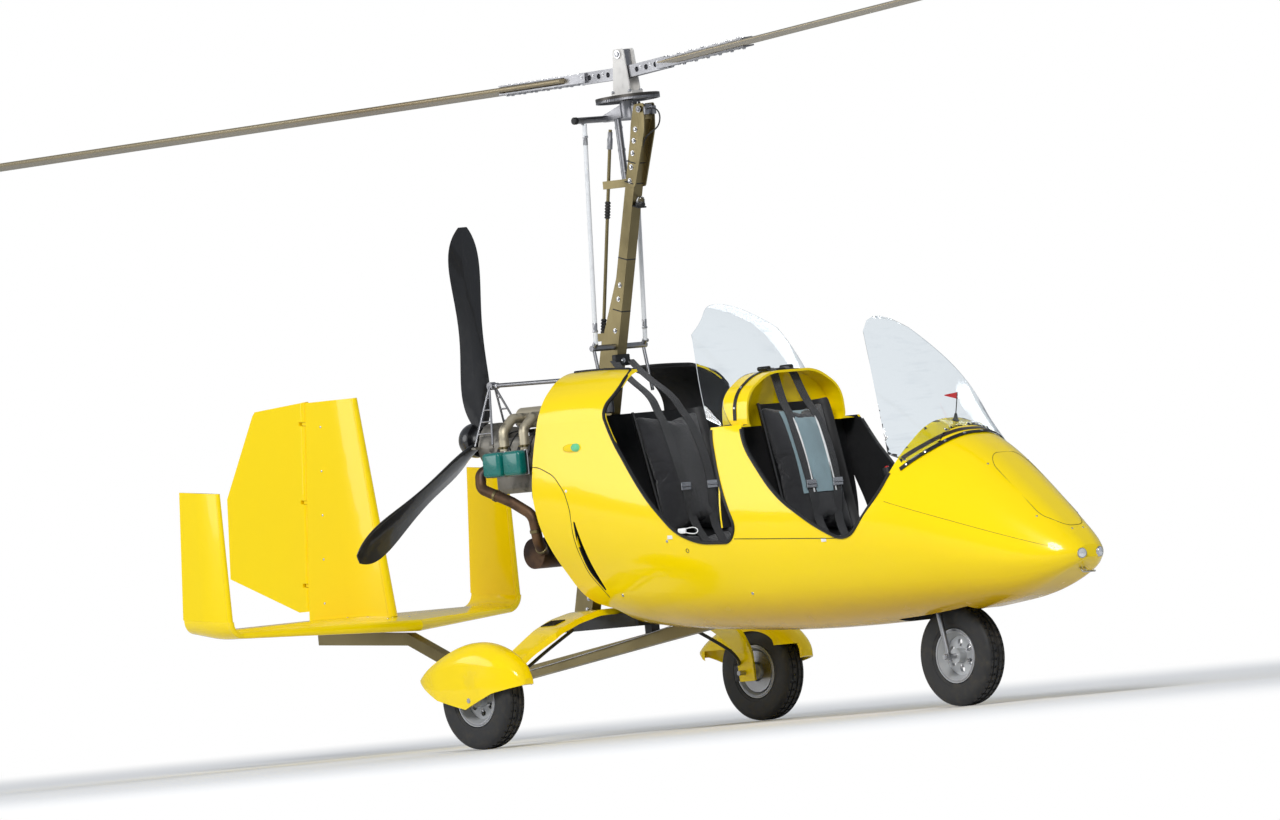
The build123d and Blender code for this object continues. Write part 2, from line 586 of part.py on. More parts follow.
bearing = rod(on_axis(bearing_foot), on_axis(bearing_top), bearing_radius)
spindle_bore = rod(on_axis(spindle_foot - part_gap), on_axis(0), spindle_radius + pin_fit)
beam = block(
    beam_rear_x, pitch_pin_x + beam_lead, -beam_half, beam_half,
    pitch_pin_z - beam_drop, pitch_pin_z + beam_rise,
)
bolt_reach = cheek_y + cheek_sheet + pitch_bolt_reach
pitch_bolt = cross_rod(pitch_pin_x, pitch_pin_z, -bolt_reach, bolt_reach, pitch_bolt_radius)
arm = side_prism(arm_points, -arm_half, arm_half)
crossbar = cross_rod(crossbar_x, crossbar_z, -crossbar_half, crossbar_half, crossbar_radius)
parts["rotor_head"] = bearing + beam + pitch_bolt + arm + crossbar - spindle_bore

# Gear disc on its spindle, and the hub tower with the teeter bolt
disc = rod(on_axis(-disc_sheet / 2), on_axis(disc_sheet / 2), disc_radius)
hole_start, hole_end = on_axis(-disc_sheet), on_axis(disc_sheet)
for turn in range(disc_holes):
    angle = math.radians(360 / disc_holes * turn)
    aside = Vector(math.cos(angle), math.sin(angle), 0) * disc_hole_circle
    disc = disc - rod(hole_start + aside, hole_end + aside, disc_hole_radius)
parts["gear_disc"] = disc + rod(on_axis(spindle_foot), on_axis(0), spindle_radius)
tower_outer_half = tower_inner_half + tower_plate
tower_foot = block(
    -tower_foot_half, tower_foot_half, -tower_outer_half, tower_outer_half,
    disc_z + tower_foot_low, disc_z + tower_foot_high,
)
tower_outline = (
    (-tower_base / 2, disc_z + tower_plate_low), (tower_base / 2, disc_z + tower_plate_low),
    (tower_top_length / 2, tower_top_z), (-tower_top_length / 2, tower_top_z),
)
tower_side = side_prism(tower_outline, tower_inner_half, tower_outer_half, share=0.2)
bolt_reach = tower_outer_half + teeter_bolt_reach
teeter_bolt = cross_rod(0, teeter_z, -bolt_reach, bolt_reach, teeter_bolt_radius)
parts["hub_tower"] = both_sides(tower_side) + tower_foot - disc + teeter_bolt


def blade_side(shape, front):
    """Place what is built along +X on the front or rear side of the coned, tilted hub."""
    turned = shape if front else Rot(0, 0, 180) * shape
    angle = -rotor_cone if front else rotor_cone
    hung = Pos(0, 0, -undersling) * Rot(0, angle, 0) * turned
    return Pos(0, 0, teeter_z) * Rot(0, -rotor_tilt, 0) * hung


# Underslung hub bar: straps above and below each blade root, at the blade's pitch
pitched = Rot(blade_pitch, 0, 0)
strap_gap = blade_thickness / 2 + part_gap
bar_half = block(
    0, hub_bar_reach, -hub_bar_half_width, hub_bar_half_width, -hub_bar_half_height, hub_bar_half_height)
for x in hub_holes:
    bar_half = bar_half - Pos(x, 0, 0) * Rot(90, 0, 0) * Cylinder(hub_hole_radius, 4 * hub_bar_half_width)
strap = block(strap_start, strap_reach, -strap_half_width, strap_half_width, strap_gap, strap_gap + strap_sheet)
spacer = block(strap_start, blade_root - 1, -strap_half_width, strap_half_width, -strap_gap, strap_gap)
bar_half = bar_half + pitched * (strap + mirror(strap, about=Plane.XY) + spacer)
teeter_block = block(
    -teeter_block_half, teeter_block_half, -hub_bar_half_width, hub_bar_half_width,
    -undersling, teeter_block_rise,
)
teeter_block = Pos(0, 0, teeter_z) * Rot(0, -rotor_tilt, 0) * teeter_block
teeter_bore = cross_rod(0, teeter_z, -beyond_y, beyond_y, teeter_bolt_radius + pin_fit)
parts["hub_bar"] = blade_side(bar_half, True) + blade_side(bar_half, False) + teeter_block - teeter_bore

root_plane = Plane(origin=(blade_root, 0, 0), x_dir=(0, 1, 0), z_dir=(1, 0, 0))
blade_face = lens(blade_chord * blade_axis_share, blade_chord, blade_thickness, blade_edge, root_plane)
blade = pitched * extrude(blade_face, rotor_radius - blade_root)
parts["rotor_blades"] = Compound(children=[blade_side(blade, True), blade_side(blade, False)])

# Push rods, crank, pre-rotator shaft and trim cylinder
crank_half = push_rod_y + crank_reach
crank = cross_rod(crank_x, crank_z, -crank_half, crank_half, crank_radius)
rods = []
for y in (-push_rod_y, push_rod_y):
    rod_top, rod_foot = (push_rod_top[0], y, push_rod_top[1]), (push_rod_bottom[0], y, push_rod_bottom[1])
    clevis_top = (rod_foot[0], y, rod_foot[2] + clevis_rise)
    rods.append(rod(rod_top, rod_foot, push_rod_radius))
    crank = crank + rod((crank_x, y, crank_z), clevis_top, clevis_radius)
    lower_foot = (lower_rod_foot[0], y, lower_rod_foot[1])
    crank = crank + rod((crank_x, y, crank_z - lower_rod_drop), lower_foot, lower_rod_radius)
parts["push_rods"] = Compound(children=[item - crank for item in rods]) - parts["rotor_head"]
parts["control_crank"] = crank - mast_clear
shaft = rod(
    (prerotator_top[0], 0, prerotator_top[1]), (prerotator_foot[0], 0, prerotator_foot[1]), prerotator_radius)
shaft_slope = (prerotator_foot[0] - prerotator_top[0]) / (prerotator_foot[1] - prerotator_top[1])
for z in shaft_bracket_zs:
    shaft_x = prerotator_top[0] + (z - prerotator_top[1]) * shaft_slope
    bracket = block(
        shaft_x - shaft_bracket_half, shaft_x + shaft_bracket_length, -shaft_bracket_half, shaft_bracket_half,
        z - shaft_bracket_half, z + shaft_bracket_half,
    )
    shaft = shaft + bracket - mast_clear
parts["prerotator_shaft"] = largest_solid(shaft) - crank - parts["rotor_head"]
trim = rod((trim_top[0], 0, trim_top[1]), (trim_foot[0], 0, trim_foot[1]), trim_radius)
parts["trim_cylinder"] = trim - parts["rotor_head"] - parts["prerotator_shaft"]

# Gear bow across the machine, and the tray that joins it to the mast and the keel
bow_route = [(0, -y, z) for y, z in reversed(bow_line)] + [(0, y, z) for y, z in bow_line]
bow_path = FilletPolyline(*bow_route, radius=[*reversed(bow_radii), *bow_radii])
bow_start = Plane(origin=bow_path @ 0, z_dir=bow_path % 0, x_dir=(1, 0, 0))
bow_band = sweep(bow_start * Rectangle(bow_stock, bow_sheet), path=bow_path)
plan = make_face(Polyline(
    *bow_front_edge, *reversed(bow_rear_edge),
    *[(x, -y) for x, y in bow_rear_edge[1:]], *[(x, -y) for x, y in reversed(bow_front_edge[1:])], close=True))
bow = bow_band & extrude(plan, beyond_y)
axle_reach = main_track_half + main_axle_reach
main_axle = cross_rod(main_axle_x, tyre_radius, main_axle_inner, axle_reach, axle_radius)
axle_clear = cross_rod(
    main_axle_x, tyre_radius, main_axle_inner - overrun, axle_reach + overrun, axle_radius + pin_fit)
parts["gear_bow"] = bow - both_sides(axle_clear)
parts["main_axles"] = Compound(children=[main_axle, mirror(main_axle, about=Plane.XZ)])
tray = block(tray_rear, tray_front, -tray_half, tray_half, tray_floor, tray_top)
tray = fillet(tray.edges().filter_by(Axis.Z), tray_rounding)
tray_lug = block(
    tray_lug_rear, tray_lug_front, -tray_lug_half, tray_lug_half,
    tray_floor - keel_square, tray_floor + fuse_depth,
)
parts["bow_mount"] = tray + (tray_lug - keel_passage)


def spat_form(inset):
    """Outer or inner form of a wheel fairing, inset from its skin."""
    faces = []
    tail_x, nose_x = spat_stations[0][0], spat_stations[-1][0]
    for x, half, bottom, side_z, shoulder_z, top in spat_stations:
        slim = max(half - inset, 4)
        drop = inset if half > 40 else 0.6 * inset
        right = (
            (slim * spat_floor_share, bottom), (slim, side_z),
            (slim * spat_shoulder_share, shoulder_z - drop), (slim * spat_top_share, top - drop),
        )
        corners = list(right) + [(-y, z) for y, z in reversed(right)]
        place = min(max(x, tail_x + 2 * inset), nose_x - 2 * inset)
        faces.append(rounded_face(front_plane(place), corners, hull_rounding))
    return loft(faces)


# Wheel fairings, open below and on their inner side
spat_rear, spat_front = spat_stations[0][0] - overrun, spat_stations[-1][0] + overrun
spat_lower = side_prism(spat_lower_points, -beyond_y, beyond_y)
inner_cut = block(spat_rear, spat_front, -beyond_y, -spat_inner_cut, 0, spat_inner_edge_z)
inner_trim = block(spat_rear, spat_front, 0, main_track_half - spat_inner_half, 0, beyond_z)
spat = largest_solid(spat_form(0) - spat_form(spat_wall) - spat_lower - inner_cut)
parts["spat_left"] = Pos(0, main_track_half, 0) * spat - axle_clear - inner_trim
parts["spat_right"] = mirror(parts["spat_left"], about=Plane.XZ)

wheel_places = (
    ("main_tyre_left", "main_rim_left", main_axle_x, main_track_half),
    ("main_tyre_right", "main_rim_right", main_axle_x, -main_track_half),
    ("nose_tyre", "nose_rim", nose_axle_x, 0.0),
)
for tyre_name, rim_name, x, y in wheel_places:
    parts[tyre_name] = make_tyre(x, y)
    parts[rim_name] = make_rim(x, y)

# Nose fork on its raked stem, with a collar and a towing pin outside each leg
fork = rod(on_stem(fork_crown_z), on_stem(steer_stem_top), steer_stem_radius)
crown_half = fork_y + crown_reach
fork = fork + rod(on_stem(fork_crown_z, -crown_half), on_stem(fork_crown_z, crown_half), crown_radius)
fork = fork + cross_rod(nose_axle_x, tyre_radius, -fork_y, fork_y, axle_radius)
for side in (-1, 1):
    leg_y, collar_end, pin_end = side * fork_y, side * (fork_y + collar_reach), side * (fork_y + tow_pin_reach)
    fork = fork + rod(on_stem(fork_foot_z, leg_y), on_stem(fork_crown_z, leg_y), fork_radius)
    fork = fork + cross_rod(nose_axle_x, tyre_radius, leg_y, collar_end, collar_radius)
    fork = fork + cross_rod(nose_axle_x, tyre_radius, collar_end, pin_end, tow_pin_radius)
parts["nose_fork"] = fork

# Engine block with finned cylinders, rounded covers and intake pipes
case = block(case_rear, case_front, -case_half, case_half, case_bottom, case_top)
case = fillet(case.edges().filter_by(Axis.X), case_rounding)
cylinders = []
head_clear = []
covers = []
for x in cylinder_xs:
    cylinder = cross_rod(x, crank_line_z, case_half - fuse_depth, cylinder_reach, barrel_radius)
    for fin in range(fin_count):
        fin_y = case_half + fin_start + fin_pitch * fin
        cylinder = cylinder + cross_rod(x, crank_line_z, fin_y, fin_y + fin_sheet, cylinder_radius)
    cylinders.append(both_sides(cylinder))
    head_clear.append(cross_rod(x, crank_line_z, case_half, cover_reach, cylinder_radius + part_gap))
    cover = block(
        x - cover_length / 2, x + cover_length / 2, cylinder_reach + part_gap, cover_reach,
        crank_line_z - cover_height / 2, crank_line_z + cover_height / 2,
    )
    cover = fillet(cover.edges().filter_by(Axis.Y), cover_corner)
    cover = fillet(cover.faces().sort_by(Axis.Y)[-1].edges(), cover_rounding)
    covers += [cover, mirror(cover, about=Plane.XZ)]
parts["engine_block"] = case + cylinders
parts["valve_covers"] = Compound(children=covers)
intake = long_rod(plenum_front, plenum_rear, plenum_z, plenum_radius)
for x in cylinder_xs:
    runner_route = (
        (x, runner_y, runner_foot_z), (x, runner_y, runner_bend_z),
        (x - runner_rake, runner_turn_y, plenum_z), (x - runner_rake, intake_radius, plenum_z),
    )
    runner = pipe(runner_route, intake_bend, intake_radius)
    intake = intake + both_sides(runner - head_clear)
parts["intake_pipes"] = intake

# Exhaust, gearbox, lattice bracket with its stay to the mast, and the engine mounts
exhaust = pipe(exhaust_route, exhaust_bends, exhaust_radius)
muffler = cross_rod(muffler_x, muffler_z, -muffler_half, muffler_half, muffler_radius)
parts["exhaust"] = muffler + both_sides(exhaust - head_clear)
gearbox = long_rod(case_rear - part_gap, gearbox_rear, gearbox_z, gearbox_radius)
gearbox = gearbox + long_rod(gearbox_rear + gearbox_nose_length, gearbox_rear, prop_line_z, gearbox_nose_radius)
gearbox = gearbox + long_rod(gearbox_rear, gearbox_rear - flange_length, prop_line_z, flange_radius)
gearbox = gearbox + long_rod(gearbox_rear, gearbox_rear - prop_shaft_length, prop_line_z, prop_shaft_radius)
for x in bracket_feet_xs:
    lug = block(
        x - lug_half, x + lug_half, lug_inner, lug_outer, bracket_feet_z - lug_low, bracket_feet_z - lug_high)
    gearbox = gearbox + both_sides(lug)
parts["gearbox"] = gearbox

apex = Vector(bracket_apex_x, bracket_apex_y, bracket_apex_z)
front_foot, rear_foot = [Vector(x, bracket_half, bracket_feet_z - 1) for x in bracket_feet_xs]
bracket = cross_rod(apex.X, apex.Z, -apex.Y, apex.Y + part_gap, apex_boss_radius)
bracket = bracket + rod(front_foot, apex, bracket_radius) + rod(rear_foot, apex, bracket_radius)
for rung in range(1, rungs):
    share = rung / rungs
    rung_front = front_foot + (apex - front_foot) * share
    rung_rear = rear_foot + (apex - rear_foot) * share
    bracket = bracket + rod(rung_front, rung_rear, rung_radius)
parts["engine_bracket"] = both_sides(bracket)
stay_rear = (bracket_apex_x + apex_boss_radius + part_gap, 0, bracket_apex_z)
stay = rod(stay_rear, (stay_front_x, 0, stay_front_z), stay_radius)
parts["engine_stay"] = (stay - mast_clear).solids().sort_by(Axis.X)[0]
mounts = []
for mast_z, case_z in mount_rows:
    mount = rod((mount_front_x, 0, mast_z), (mount_rear_x, mount_rear_y, case_z), mount_radius)
    mounts += (both_sides(mount) - mast_clear - case).solids()
parts["engine_mount"] = Compound(children=mounts)

# Propeller with its spinner, a cap of a sphere behind the hub
hub_front = gearbox_rear - flange_length - prop_hub_gap
prop_hub = long_rod(hub_front, hub_front - prop_hub_length, prop_line_z, prop_hub_radius)
prop_bore = long_rod(hub_front + overrun, hub_front - prop_bore_depth, prop_line_z, prop_shaft_radius + pin_fit)
blade_faces = []
for radius, chord, thick, twist in prop_blade_rows:
    chord_dir = (math.sin(math.radians(twist)), math.cos(math.radians(twist)), 0)
    plane = Plane(origin=(0, 0, radius), x_dir=chord_dir, z_dir=(0, 0, 1))
    blade_faces.append(lens(chord * 0.4, chord, thick, 3, plane))
prop_blade = loft(blade_faces)
blade_place = Pos(hub_front - prop_hub_length / 2, 0, prop_line_z)
blades = [blade_place * Rot(360 / prop_blades * turn, 0, 0) * prop_blade for turn in range(prop_blades)]
cone_base = hub_front - prop_hub_length - part_gap
cone_height = cone_base - spinner_tip_x
dome_radius = (spinner_radius ** 2 + cone_height ** 2) / (2 * cone_height)
dome = Pos(spinner_tip_x + dome_radius, 0, prop_line_z) * Sphere(dome_radius)
ahead_of_base = block(
    cone_base, cone_base + beyond_y, -beyond_y, beyond_y, prop_line_z - beyond_y, prop_line_z + beyond_y)
parts["spinner"] = dome - ahead_of_base
cone_clear = long_rod(cone_base + part_gap, spinner_tip_x, prop_line_z, dome_radius + spinner_gap)
parts["propeller_blades"] = prop_hub + blades - cone_clear - prop_bore

# Tail: tailplane with upturned ends and end plates, and the fin
chord_dir = Vector(math.cos(math.radians(tail_pitch)), 0, -math.sin(math.radians(tail_pitch)))
upright = Vector(math.sin(math.radians(tail_pitch)), 0, math.cos(math.radians(tail_pitch)))


def wing_plane(x, y, z):
    """Section plane of the tailplane, with its first axis forward along the chord."""
    return Plane(origin=(x, y, z), x_dir=chord_dir, z_dir=chord_dir.cross(Vector(0, 0, 1)))


def plate_plane(x, z):
    """Section plane of the end plate, with its first axis forward along the chord."""
    return Plane(origin=(x, stab_half_span, z), x_dir=chord_dir, z_dir=upright)


wing_end = stab_half_span - endplate_bend
plate_foot_z = stab_tip_nose_z + endplate_bend
root = lens(0, stab_root_chord, stab_root_thickness, trailing_edge, wing_plane(stab_nose_x, 0, stab_nose_z))
tip_plane = wing_plane(stab_tip_nose_x, wing_end, stab_tip_nose_z)
tip = lens(0, stab_tip_chord, stab_tip_thickness, trailing_edge, tip_plane)
wing = loft([root, tip], ruled=True)
corner = revolve(tip, Axis((stab_tip_nose_x, wing_end, plate_foot_z), tuple(chord_dir)), 90)
plate_foot = lens(
    0, stab_tip_chord, stab_tip_thickness, trailing_edge, plate_plane(stab_tip_nose_x, plate_foot_z))
plate_top_plane = plate_plane(endplate_top_nose_x, endplate_top_z)
plate_top = lens(0, endplate_top_chord, endplate_top_thickness, trailing_edge, plate_top_plane)
endplate = loft([plate_foot, plate_top], ruled=True)
hinge_slope = (hinge_top_x - hinge_foot_x) / (hinge_top_z - hinge_foot_z)


def on_hinge(z):
    """Point of the rudder hinge line at height z."""
    return (hinge_foot_x + (z - hinge_foot_z) * hinge_slope, 0, z)


def hinge_plane(z):
    """Plane across the hinge line at height z, with its first axis forward."""
    return Plane(origin=on_hinge(z), x_dir=(1, 0, -hinge_slope), z_dir=(hinge_slope, 0, 1))


fin_rear_gap = rudder_nose_radius + rudder_gap
fin_faces = []
for z, nose_x, thick in fin_rows:
    chord = nose_x - (on_hinge(z)[0] + fin_rear_gap)
    plane = Plane(origin=(0, 0, z), x_dir=(1, 0, 0), z_dir=(0, 0, 1))
    fin_faces.append(lens(nose_x, chord, thick, thick * fin_tail_share, plane))
fin = loft(fin_faces, ruled=True)
tail = both_sides(wing + corner + endplate) + fin

# Rudder: a wedge with a round nose, hung on pins through lugs of the fin
edge_x, edge_y = -rudder_chord, rudder_edge_half
wedge = make_face(
    ThreePointArc((0, rudder_nose_radius), (rudder_nose_radius, 0), (0, -rudder_nose_radius))
    + Polyline((0, -rudder_nose_radius), (edge_x, -edge_y), (edge_x, edge_y), (0, rudder_nose_radius)))
wedge_plane = Plane(origin=on_hinge(rudder_low), x_dir=(1, 0, 0), z_dir=(0, 0, 1))
wedge_solid = extrude(wedge_plane * wedge, rudder_high - rudder_low, dir=(hinge_slope, 0, 1))
rudder = wedge_solid & side_prism(rudder_points, -beyond_y, beyond_y)
lug_length = fin_rear_gap + hinge_lug_half_height
lug_outline = Circle(hinge_lug_radius) + Pos(lug_length / 2, 0) * Rectangle(lug_length, 2 * hinge_lug_radius)
slot_outline = Pos((slot_front - slot_rear) / 2, 0) * Rectangle(slot_front + slot_rear, 2 * slot_half_width)
for z in hinge_lug_zs:
    low, slot_low = z - hinge_lug_half_height, z - hinge_lug_half_height - slot_clear
    lug = extrude(hinge_plane(low) * lug_outline, 2 * hinge_lug_half_height)
    slot = extrude(hinge_plane(slot_low) * slot_outline, 2 * (z - slot_low))
    pin = rod(on_hinge(z - hinge_pin_half), on_hinge(z + hinge_pin_half), hinge_pin_radius)
    bore_half = hinge_pin_half + slot_clear
    bore = rod(on_hinge(z - bore_half), on_hinge(z + bore_half), hinge_pin_radius + pin_fit)
    tail = tail + lug + pin
    rudder = rudder - slot - bore
parts["tail_unit"] = tail - keel_passage
parts["rudder"] = rudder

for name, shape in parts.items():
    export_step(Compound(children=list(shape.solids())), f"parts/{name}.step")
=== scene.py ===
"""Looks of a two-seat open gyrocopter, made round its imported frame. Lengths are in metres."""

import json
import math
from contextlib import contextmanager

import bpy
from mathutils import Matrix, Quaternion, Vector


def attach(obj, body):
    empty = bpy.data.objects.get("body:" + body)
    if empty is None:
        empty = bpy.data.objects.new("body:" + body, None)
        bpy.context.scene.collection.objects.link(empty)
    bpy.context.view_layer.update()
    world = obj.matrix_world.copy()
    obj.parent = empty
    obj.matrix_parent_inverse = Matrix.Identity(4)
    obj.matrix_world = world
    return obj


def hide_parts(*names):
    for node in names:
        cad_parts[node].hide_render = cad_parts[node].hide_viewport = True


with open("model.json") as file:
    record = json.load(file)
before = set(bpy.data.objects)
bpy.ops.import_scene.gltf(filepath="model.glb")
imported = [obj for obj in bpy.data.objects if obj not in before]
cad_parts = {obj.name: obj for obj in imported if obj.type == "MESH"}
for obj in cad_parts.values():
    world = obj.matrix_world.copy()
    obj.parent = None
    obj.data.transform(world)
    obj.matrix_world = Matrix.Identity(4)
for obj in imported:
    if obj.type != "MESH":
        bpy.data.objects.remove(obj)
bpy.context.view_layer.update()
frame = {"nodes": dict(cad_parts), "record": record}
nodes = frame["nodes"]

# Camera: where the photograph was taken from
view_azimuth, view_elevation, view_roll = 46.5, -0.5, 5.45
view_distance, view_lens = 70.0, 489.4
view_focus = Vector((-0.221, 0.114, 1.295))

# Driving sizes of the airframe
side_sign = {"left": 1.0, "right": -1.0}
right_left = ((-1, "right"), (1, "left"))
tyre_radius = 0.200
nose_axle = Vector((1.605, 0.0, tyre_radius))
main_axle_x, main_track_half = -0.345, 0.777
mast_lean = math.radians(16.0)
mast_front_x_at_top, mast_top_z = 0.090, 2.450
mast_half = 0.025
rotor_tilt, rotor_cone = math.radians(3.0), math.radians(2.0)
teeter_z, disc_z, prop_line_z = 2.720, 2.546, 1.240


def shade(red, green, blue):
    """A display colour, 0 to 255, as the shader's linear colour."""
    levels = [channel / 255 for channel in (red, green, blue)]
    linear = [v / 12.92 if v <= 0.04045 else ((v + 0.055) / 1.055) ** 2.4 for v in levels]
    return (*linear, 1.0)


class Value:
    """An output of a shader node that takes part in plain arithmetic."""

    def __init__(self, finish, socket):
        self.finish = finish
        self.socket = socket

    def combine(self, operation, other, swapped=False):
        first, second = (other, self) if swapped else (self, other)
        return self.finish.node("ShaderNodeMath", {"operation": operation}, {0: first, 1: second})

    def __add__(self, other):
        return self.combine("ADD", other)

    def __rsub__(self, other):
        return self.combine("SUBTRACT", other, swapped=True)

    def __mul__(self, other):
        return self.combine("MULTIPLY", other)

    def between(self, low, high):
        """0 below low, 1 above high, and a smooth rise from one to the other."""
        settings = {"interpolation_type": "SMOOTHSTEP"}
        return self.finish.node("ShaderNodeMapRange", settings, {"Value": self, "From Min": low, "From Max": high})

    __radd__ = __add__


class Finish:
    """A surface finish: one shader, and the nodes that vary it over the surface."""

    def __init__(self, name, colour, roughness, metallic=0.0, **constants):
        self.material = bpy.data.materials.new(name)
        self.material.use_nodes = True
        self.tree = self.material.node_tree
        self.shader = self.tree.nodes["Principled BSDF"]
        self.colour = colour
        self.place = self.node("ShaderNodeTexCoord", output="Object")
        self.set("Base Color", colour)
        self.set("Roughness", roughness)
        self.set("Metallic", metallic)
        for socket, value in constants.items():
            self.set(socket.replace("_", " ").title().replace("Ior", "IOR"), value)
        self.material.diffuse_color = colour

    def node(self, kind, settings=None, inputs=None, output=0):
        made = self.tree.nodes.new(kind)
        for name, value in (settings or {}).items():
            setattr(made, name, value)
        for key, value in (inputs or {}).items():
            self.feed(made.inputs[key], value)
        return Value(self, made.outputs[output])

    def feed(self, socket, value):
        if isinstance(value, Value):
            self.tree.links.new(value.socket, socket)
        else:
            socket.default_value = value

    def set(self, socket, value):
        self.feed(self.shader.inputs[socket], value)

    def axis(self, letter):
        """One object coordinate in metres."""
        return self.node("ShaderNodeSeparateXYZ", None, {0: self.place}, output=letter)

    def stretched(self, scale):
        return self.node("ShaderNodeMapping", None, {"Vector": self.place, "Scale": scale})

    def noise(self, scale, detail=3.0, stretch=None):
        vector = self.stretched(stretch) if stretch else self.place
        return self.node("ShaderNodeTexNoise", None, {"Vector": vector, "Scale": scale, "Detail": detail})

    def wave(self, scale, direction, distortion):
        settings = {"bands_direction": direction}
        inputs = {"Vector": self.place, "Scale": scale, "Distortion": distortion}
        return self.node("ShaderNodeTexWave", settings, inputs, output="Fac")

    def mix(self, factor, first, second):
        """First colour where the factor is 0 and second colour where it is 1."""
        inputs = {"Factor": factor, 6: first, 7: second}
        return self.node("ShaderNodeMix", {"data_type": "RGBA"}, inputs, output=2)

    def tint(self, factor, amount):
        """The base colour, darkened by the amount where the factor is 1."""
        darker = tuple(channel * (1 - amount) for channel in self.colour[:3]) + (1.0,)
        self.set("Base Color", self.mix(factor, self.colour, darker))

    def bump(self, height, distance, strength=1.0):
        inputs = {"Height": height, "Distance": distance, "Strength": strength}
        self.set("Normal", self.node("ShaderNodeBump", None, inputs))


def gelcoat(name, colour, belly_shade=False):
    """Glossy laminate: faint orange peel, slow ripples, dust, and, where asked, painted shade that darkens the hull
    towards its belly.
    """
    finish = Finish(name, colour, 0.2, coat_weight=0.5, coat_roughness=0.04, coat_ior=1.45, specular_ior_level=0.2)
    cloud = finish.noise(1.3, 2.0).between(0.35, 0.7)
    low = 1 - finish.axis("Z").between(0.25, 0.62)
    dust = low * finish.noise(9.0, 4.0).between(0.45, 0.75)
    skin = finish.mix(cloud * 0.35, colour, tuple(channel * 0.93 for channel in colour[:3]) + (1.0,))
    if belly_shade:
        # Painted shade: the base colour darkens to a deep gold towards the belly
        belly_shade_mask = 1 - finish.axis("Z").between(0.36, 0.60)
        skin = finish.mix(belly_shade_mask * 0.75, skin, shade(176, 128, 0))
    finish.set("Base Color", finish.mix(dust * 0.16, skin, shade(170, 138, 40)))
    finish.set("Roughness", 0.17 + cloud * 0.05 + dust * 0.2)
    finish.bump(finish.noise(170.0, 1.0) * 0.05 + finish.noise(2.6, 1.0), 0.0022, 0.28)
    return finish


def brushed(name, colour, roughness, stretch, depth=0.0002):
    """Metal with fine lines along the direction that the stretch leaves short."""
    finish = Finish(name, colour, roughness, 1.0)
    lines = finish.noise(14.0, 4.0, stretch)
    stain = finish.noise(4.0, 3.0).between(0.4, 0.75)
    finish.tint(lines * 0.4 + stain * 0.5, 0.38)
    finish.set("Roughness", roughness - 0.08 + lines * 0.22 + stain * 0.08)
    finish.bump(lines, depth, 0.5)
    return finish


def painted(name, colour, roughness, grain=0.0, grain_scale=160.0, **constants):
    """Paint or plastic with light handling marks and, where asked, a moulded grain."""
    finish = Finish(name, colour, roughness, **constants)
    marks = finish.noise(22.0, 5.0).between(0.48, 0.8)
    finish.tint(marks, 0.18)
    finish.set("Roughness", roughness + marks * 0.14)
    if grain:
        finish.bump(finish.noise(grain_scale, 2.0), grain, 0.6)
    return finish


def cast_metal(name, colour):
    """Sand-cast alloy, with oil darkening in its hollows."""
    finish = Finish(name, colour, 0.5, 0.85)
    oil = finish.noise(16.0, 5.0).between(0.5, 0.72)
    finish.set("Base Color", finish.mix(oil * 0.8, colour, shade(38, 33, 28)))
    finish.set("Roughness", 0.42 + finish.noise(60.0, 2.0) * 0.25)
    finish.bump(finish.noise(420.0, 3.0), 0.0006, 0.6)
    return finish


def rubber(name, colour):
    """Tyre rubber, greyer where it meets the ground dust."""
    finish = Finish(name, colour, 0.72)
    dust = finish.noise(28.0, 5.0).between(0.45, 0.8)
    finish.set("Base Color", finish.mix(dust * 0.4, colour, shade(92, 86, 76)))
    finish.set("Roughness", 0.6 + dust * 0.3)
    finish.bump(finish.noise(300.0, 2.0), 0.0004, 0.5)
    return finish


def webbing(name, colour, scale, depth):
    """Woven cloth or strap, with warp and weft at the real thread size."""
    finish = Finish(name, colour, 0.82, sheen_weight=0.35)
    warp = finish.wave(scale, "DIAGONAL", 0.6)
    weft = finish.wave(scale * 0.8, "Y", 0.6)
    thread = warp * weft
    fade = finish.noise(5.0, 3.0).between(0.4, 0.75)
    finish.set("Base Color", finish.mix(thread * 0.5 + fade * 0.3, colour, shade(58, 58, 62)))
    finish.bump(thread, depth, 0.7)
    return finish


def clear_acrylic(name):
    """Screen sheet: clear, with a cool cast and fine wiping marks."""
    finish = Finish(name, shade(226, 233, 238), 0.03, ior=1.32, transmission_weight=1.0)
    wipes = finish.noise(7.0, 4.0, (1.0, 1.0, 5.0)).between(0.5, 0.85)
    finish.set("Roughness", 0.02 + wipes * 0.09)
    finish.set("Base Color", finish.mix(wipes * 0.5, shade(226, 233, 238), shade(205, 214, 222)))
    return finish


def heat_stained(name):
    """Exhaust steel, brown with straw and blue where it ran hot."""
    finish = Finish(name, shade(70, 52, 44), 0.5, 0.8)
    heat = finish.noise(7.0, 4.0).between(0.35, 0.7)
    blue = finish.noise(13.0, 2.0).between(0.55, 0.75)
    brown = finish.mix(heat, shade(52, 41, 37), shade(120, 92, 68))
    finish.set("Base Color", finish.mix(blue * 0.5, brown, shade(62, 66, 84)))
    finish.set("Roughness", 0.4 + heat * 0.25)
    finish.bump(finish.noise(90.0, 4.0), 0.0006, 0.5)
    return finish


def blade_skin(name):
    """Extruded blade: golden-brown anodised skin with fine drawn lines and grey wear."""
    finish = Finish(name, shade(150, 132, 98), 0.34, 0.5)
    lines = finish.noise(12.0, 2.0, (0.02, 60.0, 60.0))
    smear = finish.noise(1.6, 3.0, (0.6, 4.0, 1.0)).between(0.4, 0.75)
    finish.set("Base Color", finish.mix(smear * 0.6 + lines * 0.15, shade(158, 146, 118), shade(128, 108, 76)))
    finish.set("Roughness", 0.28 + lines * 0.12)
    finish.bump(lines, 0.0001, 0.3)
    return finish


